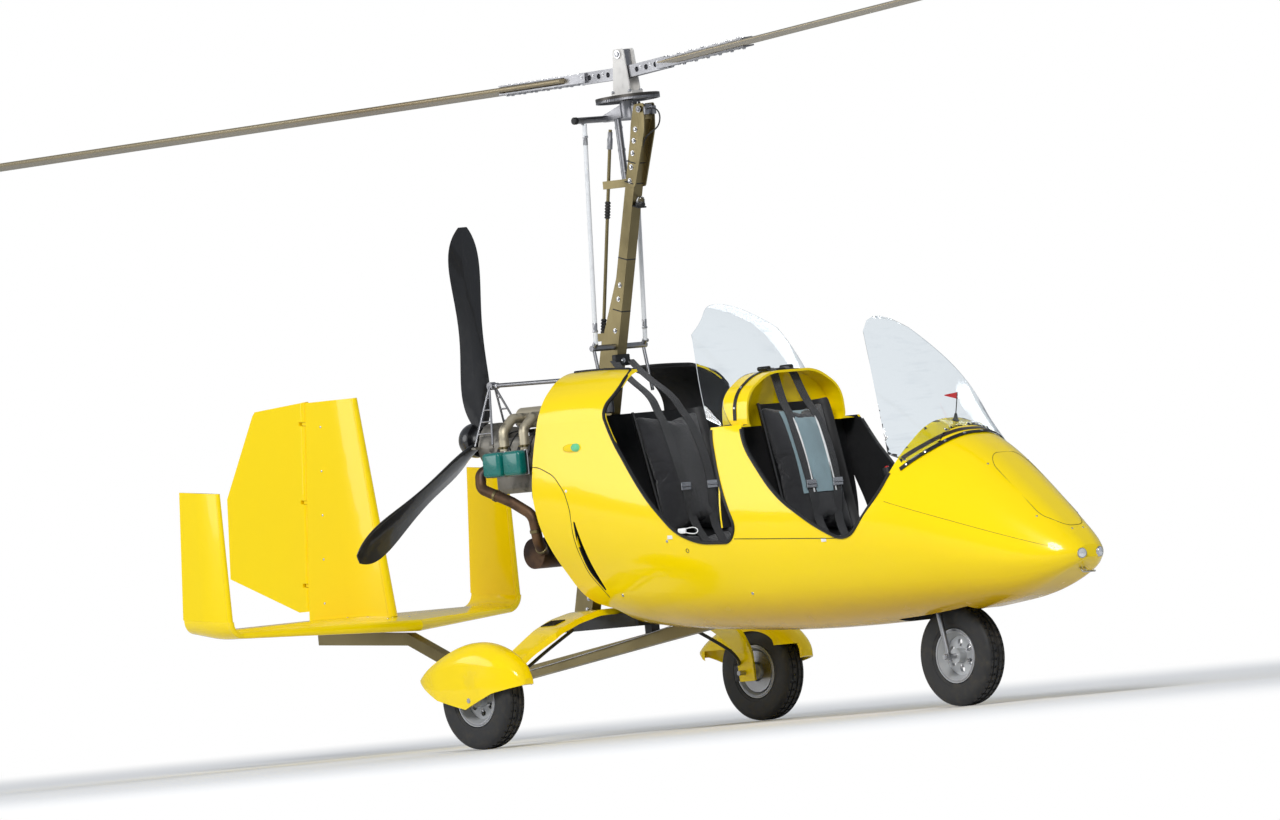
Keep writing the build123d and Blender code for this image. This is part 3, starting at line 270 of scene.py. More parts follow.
yellow = shade(255, 222, 0)
# Finishes of the frame's parts, each under the name of its slot
finishes = {
    "yellow_skin": gelcoat("yellow_gelcoat", yellow),
    "clear_screen": clear_acrylic("clear_acrylic"),
    "black_seat": webbing("seat_cloth", shade(24, 24, 27), 420.0, 0.0006),
    "black_panel": painted("panel_black", shade(20, 20, 22), 0.55, 0.0004),
    "black_metal": painted("black_paint", shade(22, 22, 23), 0.38),
    "stainless": brushed("mast_stainless", shade(138, 126, 92), 0.36, (40.0, 40.0, 1.0)),
    "machined_aluminium": brushed("machined_aluminium", shade(160, 160, 163), 0.34, (12.0, 12.0, 12.0)),
    "white_rod": painted("white_rod", shade(224, 226, 228), 0.3),
    "steel": brushed("plated_steel", shade(184, 184, 186), 0.25, (20.0, 20.0, 3.0)),
    "engine_metal": cast_metal("cast_case", shade(142, 138, 130)),
    "green_cover": painted("green_cover", shade(12, 112, 104), 0.26, 0.0003, 90.0, coat_weight=0.4),
    "cream_pipe": cast_metal("intake_casting", shade(206, 196, 172)),
    "burnt_exhaust": heat_stained("heat_stained_steel"),
    "tyre_rubber": rubber("tyre_rubber", shade(30, 30, 31)),
    "grey_rim": painted("rim_paint", shade(176, 178, 180), 0.34, metallic=0.3),
    "dark_disc": brushed("gear_disc_steel", shade(92, 88, 84), 0.38, (6.0, 6.0, 6.0)),
    "white_tower": painted("tower_paint", shade(214, 211, 206), 0.34),
    "blade_skin": blade_skin("blade_skin"),
    "black_propeller": painted("propeller_carbon", shade(24, 24, 26), 0.28, coat_weight=0.5),
}
# What trim is dressed in: its finish, and the slot that it counts to
looks = {slot: (finish, slot) for slot, finish in finishes.items()}
looks.update({
    "trim_black": (painted("trim_rubber", shade(18, 18, 19), 0.5, 0.0002, 300.0), "black_panel"),
    "stripe_brown": (painted("stripe_film", shade(44, 30, 24), 0.3), "black_panel"),
    "screw_steel": (brushed("screw_steel", shade(206, 206, 208), 0.2, (8.0, 8.0, 8.0)), "steel"),
    "strap_cloth": (webbing("harness_webbing", shade(20, 20, 22), 900.0, 0.0004), "black_seat"),
    "pad_blue": (webbing("seat_panel_cloth", shade(150, 178, 186), 420.0, 0.0006), "black_seat"),
    "seam_dark": (painted("seam_shadow", shade(70, 58, 8), 0.6), "black_panel"),
    "white_paint": (painted("white_screw", shade(236, 236, 234), 0.3), "white_rod"),
    "lamp_glass": (Finish("lamp_glass", shade(250, 250, 250), 0.05, ior=1.45, transmission_weight=1.0),
                   "clear_screen"),
    "lamp_silver": (painted("lamp_reflector", shade(228, 230, 232), 0.12, metallic=0.4, coat_weight=1.0),
                    "clear_screen"),
    "lamp_green": (painted("lamp_green", shade(104, 214, 160), 0.08, coat_weight=1.0), "clear_screen"),
    "lamp_red": (painted("lamp_red", shade(206, 24, 20), 0.08, coat_weight=1.0), "clear_screen"),
    "dial_face": (painted("dial_face", shade(12, 12, 13), 0.4), "black_panel"),
    "dial_white": (painted("dial_white", shade(232, 232, 228), 0.4), "white_rod"),
    "screen_dark": (painted("instrument_glass", shade(10, 14, 18), 0.08, coat_weight=1.0), "black_panel"),
    "flag_red": (webbing("pennant_cloth", shade(196, 22, 26), 700.0, 0.0002), "black_panel"),
    "cable_black": (painted("cable_jacket", shade(22, 22, 22), 0.45), "black_panel"),
})
looks["button_red"] = (looks["lamp_red"][0], "black_panel")


def dress(node, finish):
    """Gives a frame part its finish in every slot."""
    part = nodes[node]
    part.data.materials.clear()
    part.data.materials.append(finish.material)


for row in frame["record"]["subparts"]:
    dress(row["node"], finishes[row["material_slot"]])
# Hull and its panels: the gelcoat with painted shade towards the belly
hull_gelcoat = gelcoat("hull_gelcoat", yellow, belly_shade=True)
skin_parts = ("hull", "nose_hatch", "cowl_panel_left", "cowl_panel_right")
for node in skin_parts:
    dress(node, hull_gelcoat)


def select_only(*pieces):
    bpy.ops.object.select_all(action="DESELECT")
    for piece in pieces:
        piece.select_set(True)
    bpy.context.view_layer.objects.active = pieces[0]


@contextmanager
def editing(piece, select="FACE"):
    """Edit mode on one piece, with everything selected."""
    select_only(piece)
    bpy.ops.object.mode_set(mode="EDIT")
    bpy.ops.mesh.select_mode(type=select)
    bpy.ops.mesh.select_all(action="SELECT")
    yield
    bpy.ops.object.mode_set(mode="OBJECT")


def pick_faces(piece, test):
    """In edit mode, leaves selected the faces whose centre and normal pass the test."""
    bpy.ops.mesh.select_mode(type="FACE")
    bpy.ops.mesh.select_all(action="DESELECT")
    bpy.ops.object.mode_set(mode="OBJECT")
    for face in piece.data.polygons:
        face.select = test(face.center, face.normal)
    bpy.ops.object.mode_set(mode="EDIT")


def modify(piece, kind, **settings):
    """Adds one modifier and applies it."""
    select_only(piece)
    modifier = piece.modifiers.new(kind.title(), kind)
    for name, value in settings.items():
        setattr(modifier, name, value)
    bpy.ops.object.modifier_apply(modifier=modifier.name)


def settle(piece):
    """Brings a piece's place and turn into its mesh, with its object at the origin."""
    select_only(piece)
    bpy.ops.object.transform_apply(location=True, rotation=True, scale=True)


def turned_to(piece, turn, place):
    piece.rotation_mode = "QUATERNION"
    piece.rotation_quaternion = turn
    piece.location = place
    settle(piece)
    return piece


def joined(pieces):
    select_only(*pieces)
    if len(pieces) > 1:
        bpy.ops.object.join()
    return bpy.context.view_layer.objects.active


# Edges are shaded smooth up to these angles, in degrees
crisp, rounded = 35.0, 60.0


def finished(pieces, name, look, body="airframe", smooth=crisp, replaces=()):
    """Joins, names, paints and seats what was modelled, on the body that carries it."""
    piece = joined(pieces) if isinstance(pieces, list) else pieces
    finish, slot = looks[look]
    settle(piece)
    piece.name = piece.data.name = name
    select_only(piece)
    bpy.ops.object.shade_smooth_by_angle(angle=math.radians(smooth))
    piece.data.materials.clear()
    piece.data.materials.append(finish.material)
    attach(piece, body)
    if replaces:
        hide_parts(*replaces)
    return piece


def slab(low, high, bevel=0.0, segments=2):
    """Block between two corners, with rounded edges."""
    low, high = Vector(low), Vector(high)
    bpy.ops.mesh.primitive_cube_add(size=1.0, location=(low + high) / 2)
    piece = bpy.context.object
    with editing(piece):
        bpy.ops.transform.resize(value=high - low)
        if bevel:
            bpy.ops.mesh.select_mode(type="EDGE")
            bpy.ops.mesh.bevel(offset=bevel, segments=segments, affect="EDGES")
    settle(piece)
    return piece


def side_slab(x_span, y_span, z_span, side, bevel, segments=2):
    """Block on one side of the aircraft; y_span is its reach from the middle plane."""
    near, far = sorted(side * y for y in y_span)
    return slab((x_span[0], near, z_span[0]), (x_span[1], far, z_span[1]), bevel, segments)


def bar(start, end, radius, sides=20, bevel=0.0):
    """Round bar from start to end, with eased rims."""
    start, end = Vector(start), Vector(end)
    turn = (end - start).to_track_quat("Z", "Y").to_euler()
    bpy.ops.mesh.primitive_cylinder_add(
        vertices=sides, radius=radius, depth=(end - start).length, location=(start + end) / 2, rotation=turn)
    piece = bpy.context.object
    if bevel:
        with editing(piece):
            pick_faces(piece, lambda centre, normal: abs(normal.z) > 0.9)
            bpy.ops.mesh.bevel(offset=bevel, segments=2, affect="EDGES")
    settle(piece)
    return piece


def curve(points, kind="NURBS", resolution=12, radius=0.0, roundness=0):
    """Open curve with these control points, and a round section where it has a radius."""
    bpy.ops.curve.primitive_nurbs_path_add(location=(0, 0, 0))
    piece = bpy.context.object
    splines = piece.data.splines
    splines.clear()
    line = splines.new(kind)
    line.points.add(len(points) - 1)
    for point, place in zip(line.points, points):
        point.co = (*place, 1.0)
    line.order_u = 3
    line.use_endpoint_u = True
    line.resolution_u = resolution
    piece.data.bevel_depth = radius
    piece.data.bevel_resolution = roundness
    piece.data.use_fill_caps = radius > 0
    return piece


def as_mesh(piece):
    select_only(piece)
    bpy.ops.object.convert(target="MESH")
    return bpy.context.object


def pipe(points, radius, sides=10, resolution=8):
    """Tube or cable along a smooth line through its control points."""
    return as_mesh(curve(points, "NURBS", resolution, radius, max(sides // 4, 1)))


def line_points(places, steps):
    """Even points along a smooth line through the control points."""
    made = as_mesh(curve(places, "NURBS", steps))
    smooth = [vertex.co.copy() for vertex in made.data.vertices]
    bpy.data.objects.remove(made)
    return smooth


def bridged(lines, thickness, level=0):
    """Sheet laid over lines of points, with its thickness half on each side."""
    sheet = joined([as_mesh(curve(line, "POLY")) for line in lines])
    with editing(sheet, "EDGE"):
        bpy.ops.mesh.bridge_edge_loops()
        if len(lines) > 2:
            bpy.ops.mesh.normals_make_consistent(inside=False)
    if level:
        modify(sheet, "SUBSURF", levels=level)
    modify(sheet, "SOLIDIFY", thickness=thickness, offset=0.0)
    return sheet


def ribbon(first, second, thickness, bevel=0.0):
    """Flat band between two lines of points."""
    made = bridged([first, second], thickness)
    if bevel:
        modify(made, "BEVEL", width=bevel, segments=1, limit_method="ANGLE")
    with editing(made, "VERT"):
        bpy.ops.mesh.normals_make_consistent(inside=False)
    return made


weld_gap = 0.00002


def turned(profile, centre, axis, steps=48):
    """Body of revolution: profile rows are distance along the axis and radius."""
    bpy.ops.mesh.primitive_plane_add(size=0.01, location=(0, 0, 0))
    piece = bpy.context.object
    along, radius = profile[0]
    with editing(piece, "VERT"):
        bpy.ops.mesh.merge(type="CENTER")
        bpy.ops.transform.translate(value=(radius, 0, along))
        for before, after in zip(profile, profile[1:]):
            step = (after[1] - before[1], 0, after[0] - before[0])
            bpy.ops.mesh.extrude_vertices_move(TRANSFORM_OT_translate={"value": step})
        bpy.ops.mesh.select_all(action="SELECT")
        bpy.ops.mesh.spin(steps=steps, angle=math.tau, center=(0, 0, 0), axis=(0, 0, 1))
        bpy.ops.mesh.select_all(action="SELECT")
        bpy.ops.mesh.remove_doubles(threshold=weld_gap)
        bpy.ops.mesh.normals_make_consistent(inside=False)
    return turned_to(piece, Vector(axis).to_track_quat("Z", "X"), centre)


def band(centre, axis, bore, lip, half, chamfer, steps=32):
    """Clamp or ring round a pipe, open at its bore."""
    rows = [(-half, bore), (chamfer - half, lip), (half - chamfer, lip), (half, bore)]
    return turned(rows, centre, axis, steps)


def bolt(place, axis, radius, height):
    """Hexagon head on a washer, standing on a surface at place along axis."""
    axis, place = Vector(axis).normalized(), Vector(place)
    washer = bar(place - axis * height * 0.3, place + axis * height * 0.25, radius * 1.45, 16)
    return joined([washer, bar(place, place + axis * height, radius, 6, radius * 0.12)])


def dome(place, axis, radius, height, sides=12):
    """Low round head, such as a rivet or a pan screw."""
    rows = [(-height * 0.6, radius), (0.0, radius), (height * 0.55, radius * 0.82), (height, 0.001 * radius)]
    return turned(rows, place, axis, sides)


def merged_copy(node):
    """Welded copy of a frame part, for trim that follows its surface."""
    twin = bpy.data.objects.new(node + "_copy", nodes[node].data.copy())
    bpy.context.scene.collection.objects.link(twin)
    with editing(twin, "VERT"):
        bpy.ops.mesh.remove_doubles(threshold=weld_gap)
    return twin


# Where rays at the hull start from: past its side, and over its top
past_side, over_top = 0.9, 1.9


def surface_hit(node, origin, direction):
    """Whether a line from origin along direction meets a frame part, where, and the normal there."""
    return nodes[node].ray_cast(Vector(origin), Vector(direction).normalized())[:3]


def surface_point(node, origin, direction):
    """Where a line from origin along direction first meets a frame part, and the normal there."""
    hit, place, normal = surface_hit(node, origin, direction)
    if not hit:
        raise ValueError(f"nothing of {node} lies along that line from {tuple(origin)}")
    return place, normal


def side_hit(x, z, side):
    """Whether the hull is met at x and z from one side, where, and the normal there."""
    return surface_hit("hull", (x, side * past_side, z), (0, -side, 0))


def beside(x, z, side):
    """The hull's outside at x and z on one side, and the normal there."""
    return surface_point("hull", (x, side * past_side, z), (0, -side, 0))


def above(x, y):
    """The hull's top at x and y, and the normal there."""
    return surface_point("hull", (x, y, over_top), (0, 0, -1))


def on_side(x, z, side, lift=0.0):
    place, normal = beside(x, z, side)
    return place + normal * lift


def on_top(x, y, lift=0.0):
    place, normal = above(x, y)
    return place + normal * lift


def ring_places(x, z, radius, count, first):
    """Even places on a circle that faces fore and aft; first is an angle in degrees."""
    turns = [math.radians(first + 360 * step / count) for step in range(count)]
    return [Vector((x, radius * math.cos(turn), z + radius * math.sin(turn))) for turn in turns]


def sided(side, points):
    """Points or directions given to port, brought to one side."""
    return [(x, side * y, z) for x, y, z in points]


def cord(name, look, diameter, points):
    """Cable or hose that leaves the machine at the first point and goes back into it at the last."""
    finish, slot = looks[look]
    piece = curve(points, "NURBS", 12, diameter / 2, 3)
    piece.name = piece.data.name = name
    piece.data.materials.append(finish.material)
    places = line_points(points, 24)
    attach(piece, "airframe")


def rounded_line(corners, share, steps=7):
    """Outline in x and z whose corners are arcs, as the frame's openings have them."""
    corners = [Vector((x, 0.0, z)) for x, z in corners]
    points = []
    for index, corner in enumerate(corners):
        before = corners[index - 1] - corner
        after = corners[(index + 1) % len(corners)] - corner
        setback = share * min(before.length, after.length)
        start, end = corner + before.normalized() * setback, corner + after.normalized() * setback
        half_angle = before.angle(after) / 2
        centre = corner + (before.normalized() + after.normalized()).normalized() * (setback / math.cos(half_angle))
        radius = setback * math.tan(half_angle)
        for step in range(steps + 1):
            points.append(centre + (start.lerp(end, step / steps) - centre).normalized() * radius)
    return points


front_opening = (
    (1.655, 1.600), (1.655, 0.950), (1.385, 0.688), (1.225, 0.766), (1.010, 0.905),
    (0.855, 1.095), (0.800, 1.225), (0.795, 1.600),
)
rear_opening = (
    (0.655, 1.600), (0.655, 1.190), (0.700, 0.980), (0.778, 0.790), (0.735, 0.732), (0.560, 0.742),
    (0.440, 0.790), (0.270, 0.962), (0.112, 1.180), (0.052, 1.300), (0.110, 1.380), (0.010, 1.600),
)
opening_share = 0.42
quarters = (0.0, 0.25, 0.5, 0.75, 1.0)

# Inside of the skin parts: dark lining, wherever the skin lies between a face and the outside
lining = painted("cabin_lining", shade(26, 26, 28), 0.85, 0.0004, 260.0)
lining_reach, lining_depth, lining_top = 0.015, 0.002, 1.18
post_x = 0.6
cut_line = []
for outline in (front_opening, rear_opening):
    corners = rounded_line(outline, opening_share, 8)
    for before, after in zip(corners, corners[1:] + corners[:1]):
        steps = max(int((after - before).length / 0.02), 1)
        cut_line += [before.lerp(after, step / steps) for step in range(steps)]


def on_cut_edge(centre, normal):
    """Whether a face of the hull lies on the cut edge of a cockpit opening."""
    if abs(normal.y) >= 0.8 or centre.z >= lining_top:
        return False
    return any(
        abs(centre.x - point.x) < lining_reach and abs(centre.z - point.z) < lining_reach
        and abs(normal.x * (centre.x - point.x) + normal.z * (centre.z - point.z)) < lining_depth
        for point in cut_line)


for node in skin_parts:
    part = nodes[node]
    part.data.materials.append(lining.material)
    for face in part.data.polygons:
        centre = face.center
        hull_axis_z = 0.80 - 0.20 * max(centre.x - 1.2, 0.0)
        outward = Vector((0.0, centre.y, centre.z - hull_axis_z))
        if node == "hull":
            clear = not part.ray_cast(centre + outward.normalized() * 0.001, outward)[0]
            under_hoop = 1.15 < centre.z and abs(centre.y) < 0.29 and centre.x > post_x
            tip = centre.x > 2.32 and face.normal.x > 0.3
            outside = tip or (clear and not on_cut_edge(centre, face.normal)) or under_hoop
        else:
            outside = face.normal.dot(outward) > -0.2 * outward.length
        face.material_index = 0 if outside else 1

# Rubber edging along the cockpit openings
edging_lift, edging_radius = 0.0035, 0.0065
ledge_z = 1.190


def opening_rim(outline, side, z_limit):
    """Rim of an opening on one side of the hull, up to a height."""
    points = rounded_line(outline, opening_share)
    middle = sum(points, Vector()) / len(points)
    rim = []
    for point in points:
        outside = point + (point - middle).normalized() * edging_lift
        hit, place, normal = side_hit(outside.x, outside.z, side)
        if hit and outside.z < z_limit and place.y * side > 0.05:
            rim.append(place + normal * 0.001)
    return rim


dome_x, strip_end_z = 1.6585, 0.950
for name, side in side_sign.items():
    rim = opening_rim(front_opening, side, ledge_z - 0.004)
    rim = [p for p in rim if p.x < dome_x and (p.x < 1.4 or p.z < strip_end_z)]
    finished(pipe(rim, edging_radius, 8, 3), "front_cockpit_edging_" + name, "trim_black")

roof_z, notch_half = 1.462, 0.168
for name, side in side_sign.items():
    rim = opening_rim(rear_opening, side, roof_z - 0.012)
    rim = [p for p in rim if p.x > post_x and p.z < ledge_z - 0.004 or p.x < post_x]
    notch = [on_top(x, side * notch_half, 0.001) for x in (0.055, 0.01, -0.08, -0.17, -0.25, -0.28)]
    finished(pipe(rim + notch, edging_radius, 8, 3), "rear_cockpit_edging_" + name, "trim_black")


def fan(angle):
    """Direction across the aircraft, at an angle in degrees from straight up towards port."""
    return Vector((0.0, math.sin(math.radians(angle)), math.cos(math.radians(angle))))


def on_hoop(x, angle, lift):
    place, normal = surface_point("hull", Vector((x, 0.0, ledge_z)) + fan(angle) * past_side, -fan(angle))
    return place + normal * lift


# Front screen: its sheet down to the clamping strip, whose plane cuts the dome aslant
foot_plane = Vector((1.655, 0.0, 0.942))
foot_slope = Vector((0.145, 0.0, 0.118)).normalized()
foot_normal = Vector((-foot_slope.z, 0.0, foot_slope.x))
fan_angles = [-88 + 176 * step / 44 for step in range(45)]


def dome_lines(offsets, lift):
    """Lines on the hull where planes parallel to the screen's foot, moved up by the offsets, cut it."""
    lines = [[] for _ in offsets]
    for angle in fan_angles:
        ray = foot_slope * math.cos(math.radians(angle)) + Vector((0, math.sin(math.radians(angle)), 0))
        row = []
        for offset in offsets:
            base = foot_plane + foot_normal * offset
            hit, place, normal = surface_hit("hull", base + ray * past_side, -ray)
            if hit and (place - base).dot(ray) > 0.08:
                row.append(place + normal * lift)
        if len(row) == len(offsets):
            for line, place in zip(lines, row):
                line.append(place)
    return lines


screen_copy = merged_copy("front_windshield")
with editing(screen_copy, "VERT"):
    bpy.ops.mesh.bisect(plane_co=foot_plane + foot_normal * 0.004, plane_no=-foot_normal, use_fill=True,
                        clear_outer=True)
    # Upper corners, rounded by cuts along the line of sight and their mirror images
    across, upward = Vector((0.6846, 0.7227, -0.0950)), Vector((0.0717, 0.0629, 0.9954))
    corner_cuts = (((0.9433, 1.5169), (0.9252, 1.6107)), ((0.9244, 1.6187), (0.9393, 1.6605)),
                   ((0.9393, 1.6605), (0.9678, 1.6786)))
    for start, end in corner_cuts:
        place = Vector((main_axle_x, 0, 0)) + across * start[0] + upward * start[1]
        cut = (across * (end[0] - start[0]) + upward * (end[1] - start[1])).cross(across.cross(upward)).normalized()
        cut *= math.copysign(1.0, cut.dot(across))
        for side in (1, -1):
            bpy.ops.mesh.select_all(action="SELECT")
            bpy.ops.mesh.bisect(plane_co=(place.x, side * place.y, place.z), plane_no=(cut.x, side * cut.y, cut.z),
                                use_fill=True, clear_inner=True)
finished(screen_copy, "front_screen", "clear_screen", replaces=("front_windshield",))

finished(ribbon(*dome_lines((0.030, 0.050), 0.0010), 0.0014), "dome_stripe", "stripe_brown")
finished(ribbon(*dome_lines((-0.006, 0.010), 0.0052), 0.003, 0.0006), "front_screen_strip", "trim_black")


def screw_row(line, spacing, first, radius, name, normals):
    """Pan screws at an even spacing along a line of points."""
    made = []
    travelled, due = 0.0, first
    for before, after, normal in zip(line, line[1:], normals):
        length = (after - before).length
        while travelled + length >= due:
            place = before.lerp(after, (due - travelled) / length)
            made.append(dome(place, normal, radius, radius * 0.5, 14))
            due += spacing
        travelled += length
    return finished(made, name, "screw_steel")


screw_radius, screw_height = 0.0062, 0.0031
middle_line = dome_lines((0.002,), 0.0066)[0]
facing = [(place - Vector((1.5, 0, 0.85))).normalized() for place in middle_line]
screw_row(middle_line, 0.092, 0.03, screw_radius, "front_screen_screws", facing)

# Strip over the hoop, and out along the ledge on each side
hoop_angles = [-86 + 172 * step / 40 for step in range(41)]
strip_x, strip_half, strip_sheet, strip_bevel = 0.728, 0.009, 0.003, 0.0006
hoop_edges = [[on_hoop(x, angle, 0.0022) for angle in hoop_angles]
              for x in (strip_x - strip_half, strip_x + strip_half)]
finished(ribbon(*hoop_edges, strip_sheet, strip_bevel), "hoop_strip", "trim_black")
hoop_middle = [on_hoop(strip_x, angle, 0.0037) for angle in hoop_angles]
screw_row(hoop_middle, 0.095, 0.05, screw_radius, "hoop_screws", [fan(angle) for angle in hoop_angles])
for name, side in side_sign.items():
    ledge_edges = [[on_top(x - 0.030 * share, side * (0.290 + 0.048 * share), 0.0022) for share in quarters]
                   for x in (0.726, 0.708)]
    finished(ribbon(*ledge_edges, strip_sheet, strip_bevel), "ledge_strip_" + name, "trim_black")
    screws = [dome(on_top(x, side * y, 0.0036), (0, 0, 1), screw_radius, screw_height, 14)
              for x, y in ((0.713, 0.296), (0.693, 0.328))]
    finished(screws, "ledge_screws_" + name, "screw_steel")


# Seams: hatch, side panels and the joint along the sill as dark lines, and a dark line of painted shade along the hood
# crease
# Dark line along a joint; along the hood crease it is painted shade
def seam_and_shade_line(points, name, radius=0.0012):
    finished(pipe(points, radius, 6, 3), name, "seam_dark")


hatch_corners = ((1.943, -0.1), (2.216, -0.1), (2.298, -0.045), (2.298, 0.045), (2.216, 0.1), (1.943, 0.1))
hatch_line = []
for p in rounded_line(hatch_corners, 0.3, 5):
    away = (Vector((p.x, 0, p.z)) - Vector((2.12, 0, 0))).normalized() * 0.0012
    hatch_line.append(on_top(p.x + away.x, p.z + away.z, 0.0002))
seam_and_shade_line(hatch_line + hatch_line[:1], "hatch_seam")
hatch_screws = []
for x, y in ((1.962, 0.112), (2.205, 0.112), (2.312, 0.030)):
    for side in (-1, 1):
        hatch_screws.append(dome(*above(x, side * y), 0.0045, 0.0022, 12))
finished(hatch_screws, "hatch_screws", "screw_steel")

panel_outline = (
    (-0.460, 1.108), (-0.340, 1.104), (-0.245, 1.062), (-0.188, 0.992), (-0.170, 0.920), (-0.188, 0.790),
    (-0.178, 0.660), (-0.120, 0.574), (-0.085, 0.480), (-0.460, 0.480),
)
for name, side in side_sign.items():
    outline = [p for p in rounded_line(panel_outline, 0.3, 5) if -0.372 < p.x and p.z > 0.552]
    line = []
    for p in outline:
        hit, place, normal = side_hit(p.x + 0.0015, p.z, side)
        if hit and abs(place.y) > 0.2:
            line.append(place + normal * 0.0002)
    seam_and_shade_line(line, "side_panel_seam_" + name, 0.0018)
    finished(dome(*beside(-0.176, 0.996, side), 0.0065, 0.003, 14), "side_panel_screw_" + name, "white_paint")
    # Painted shade: a dark line along the hood crease
    crease = [on_side(1.600 + 0.70 * step / 14, 0.832 - 0.242 * step / 14, side) for step in range(15)]
    seam_and_shade_line(crease, "hood_crease_shade_" + name, 0.0009)
    sill = [on_side(0.765 + 0.60 * step / 10, 0.742 - 0.038 * step / 10, side, 0.0004) for step in range(11)]
    seam_and_shade_line(sill, "sill_seam_" + name, 0.0016)


# Cockpit
seat_half = 0.195
pad_stiffness, pad_frames = 25.0, 20


def padded_block(corners, inset):
    """Pad blown up from a block: corners run round its side view."""
    bpy.ops.mesh.primitive_cube_add(size=1.0, location=(0, 0, 0))
    pad = bpy.context.object
    corner_index = {(True, True): 0, (False, True): 1, (False, False): 2, (True, False): 3}
    for vertex in pad.data.vertices:
        x, z = corners[corner_index[vertex.co.x > 0, vertex.co.z > 0]]
        vertex.co = (x, math.copysign(seat_half - inset, vertex.co.y), z)
    with editing(pad, "EDGE"):
        bpy.ops.mesh.bevel(offset=0.014, segments=3, affect="EDGES")
    modify(pad, "REMESH", mode="VOXEL", voxel_size=0.006)
    cloth = pad.modifiers.new("Cloth", "CLOTH")
    cloth.settings.use_pressure = True
    cloth.settings.uniform_pressure_force = 4.0
    cloth.settings.effector_weights.gravity = 0.0
    cloth.settings.tension_stiffness = pad_stiffness
    cloth.settings.compression_stiffness = pad_stiffness
    cloth.point_cache.frame_start, cloth.point_cache.frame_end = 1, pad_frames
    for step in range(1, pad_frames + 1):
        bpy.context.scene.frame_set(step)
    select_only(pad)
    bpy.ops.object.modifier_apply(modifier=cloth.name)
    bpy.context.scene.frame_set(1)
    modify(pad, "SUBSURF", levels=1)
    return pad


def on_pads(pads, place, away, lift):
    """Where a line towards a seat, through place, first meets its pads, lifted off them."""
    start = place + away * 0.2
    hits = [pad.ray_cast(start, -away) for pad in pads]
    spots = [spot for hit, spot, _, _ in hits if hit]
    nearest = min(spots, key=lambda spot: (spot - start).length) if spots else place
    return nearest + away * lift


belt_sheet, belt_half, belt_lift = 0.0022, 0.022, 0.008


def belt(path, reach):
    """Webbing along a smooth line, as far as reach to each side of it."""
    line = line_points(path, 5)
    return ribbon([place - reach for place in line], [place + reach for place in line], belt_sheet)


seats = {
    "front": ((1.290, 0.545), (1.010, 0.500), (0.905, 0.720), (0.785, 1.275)),
    "rear": ((0.575, 0.600), (0.300, 0.565), (0.190, 0.770), (0.060, 1.290)),
}
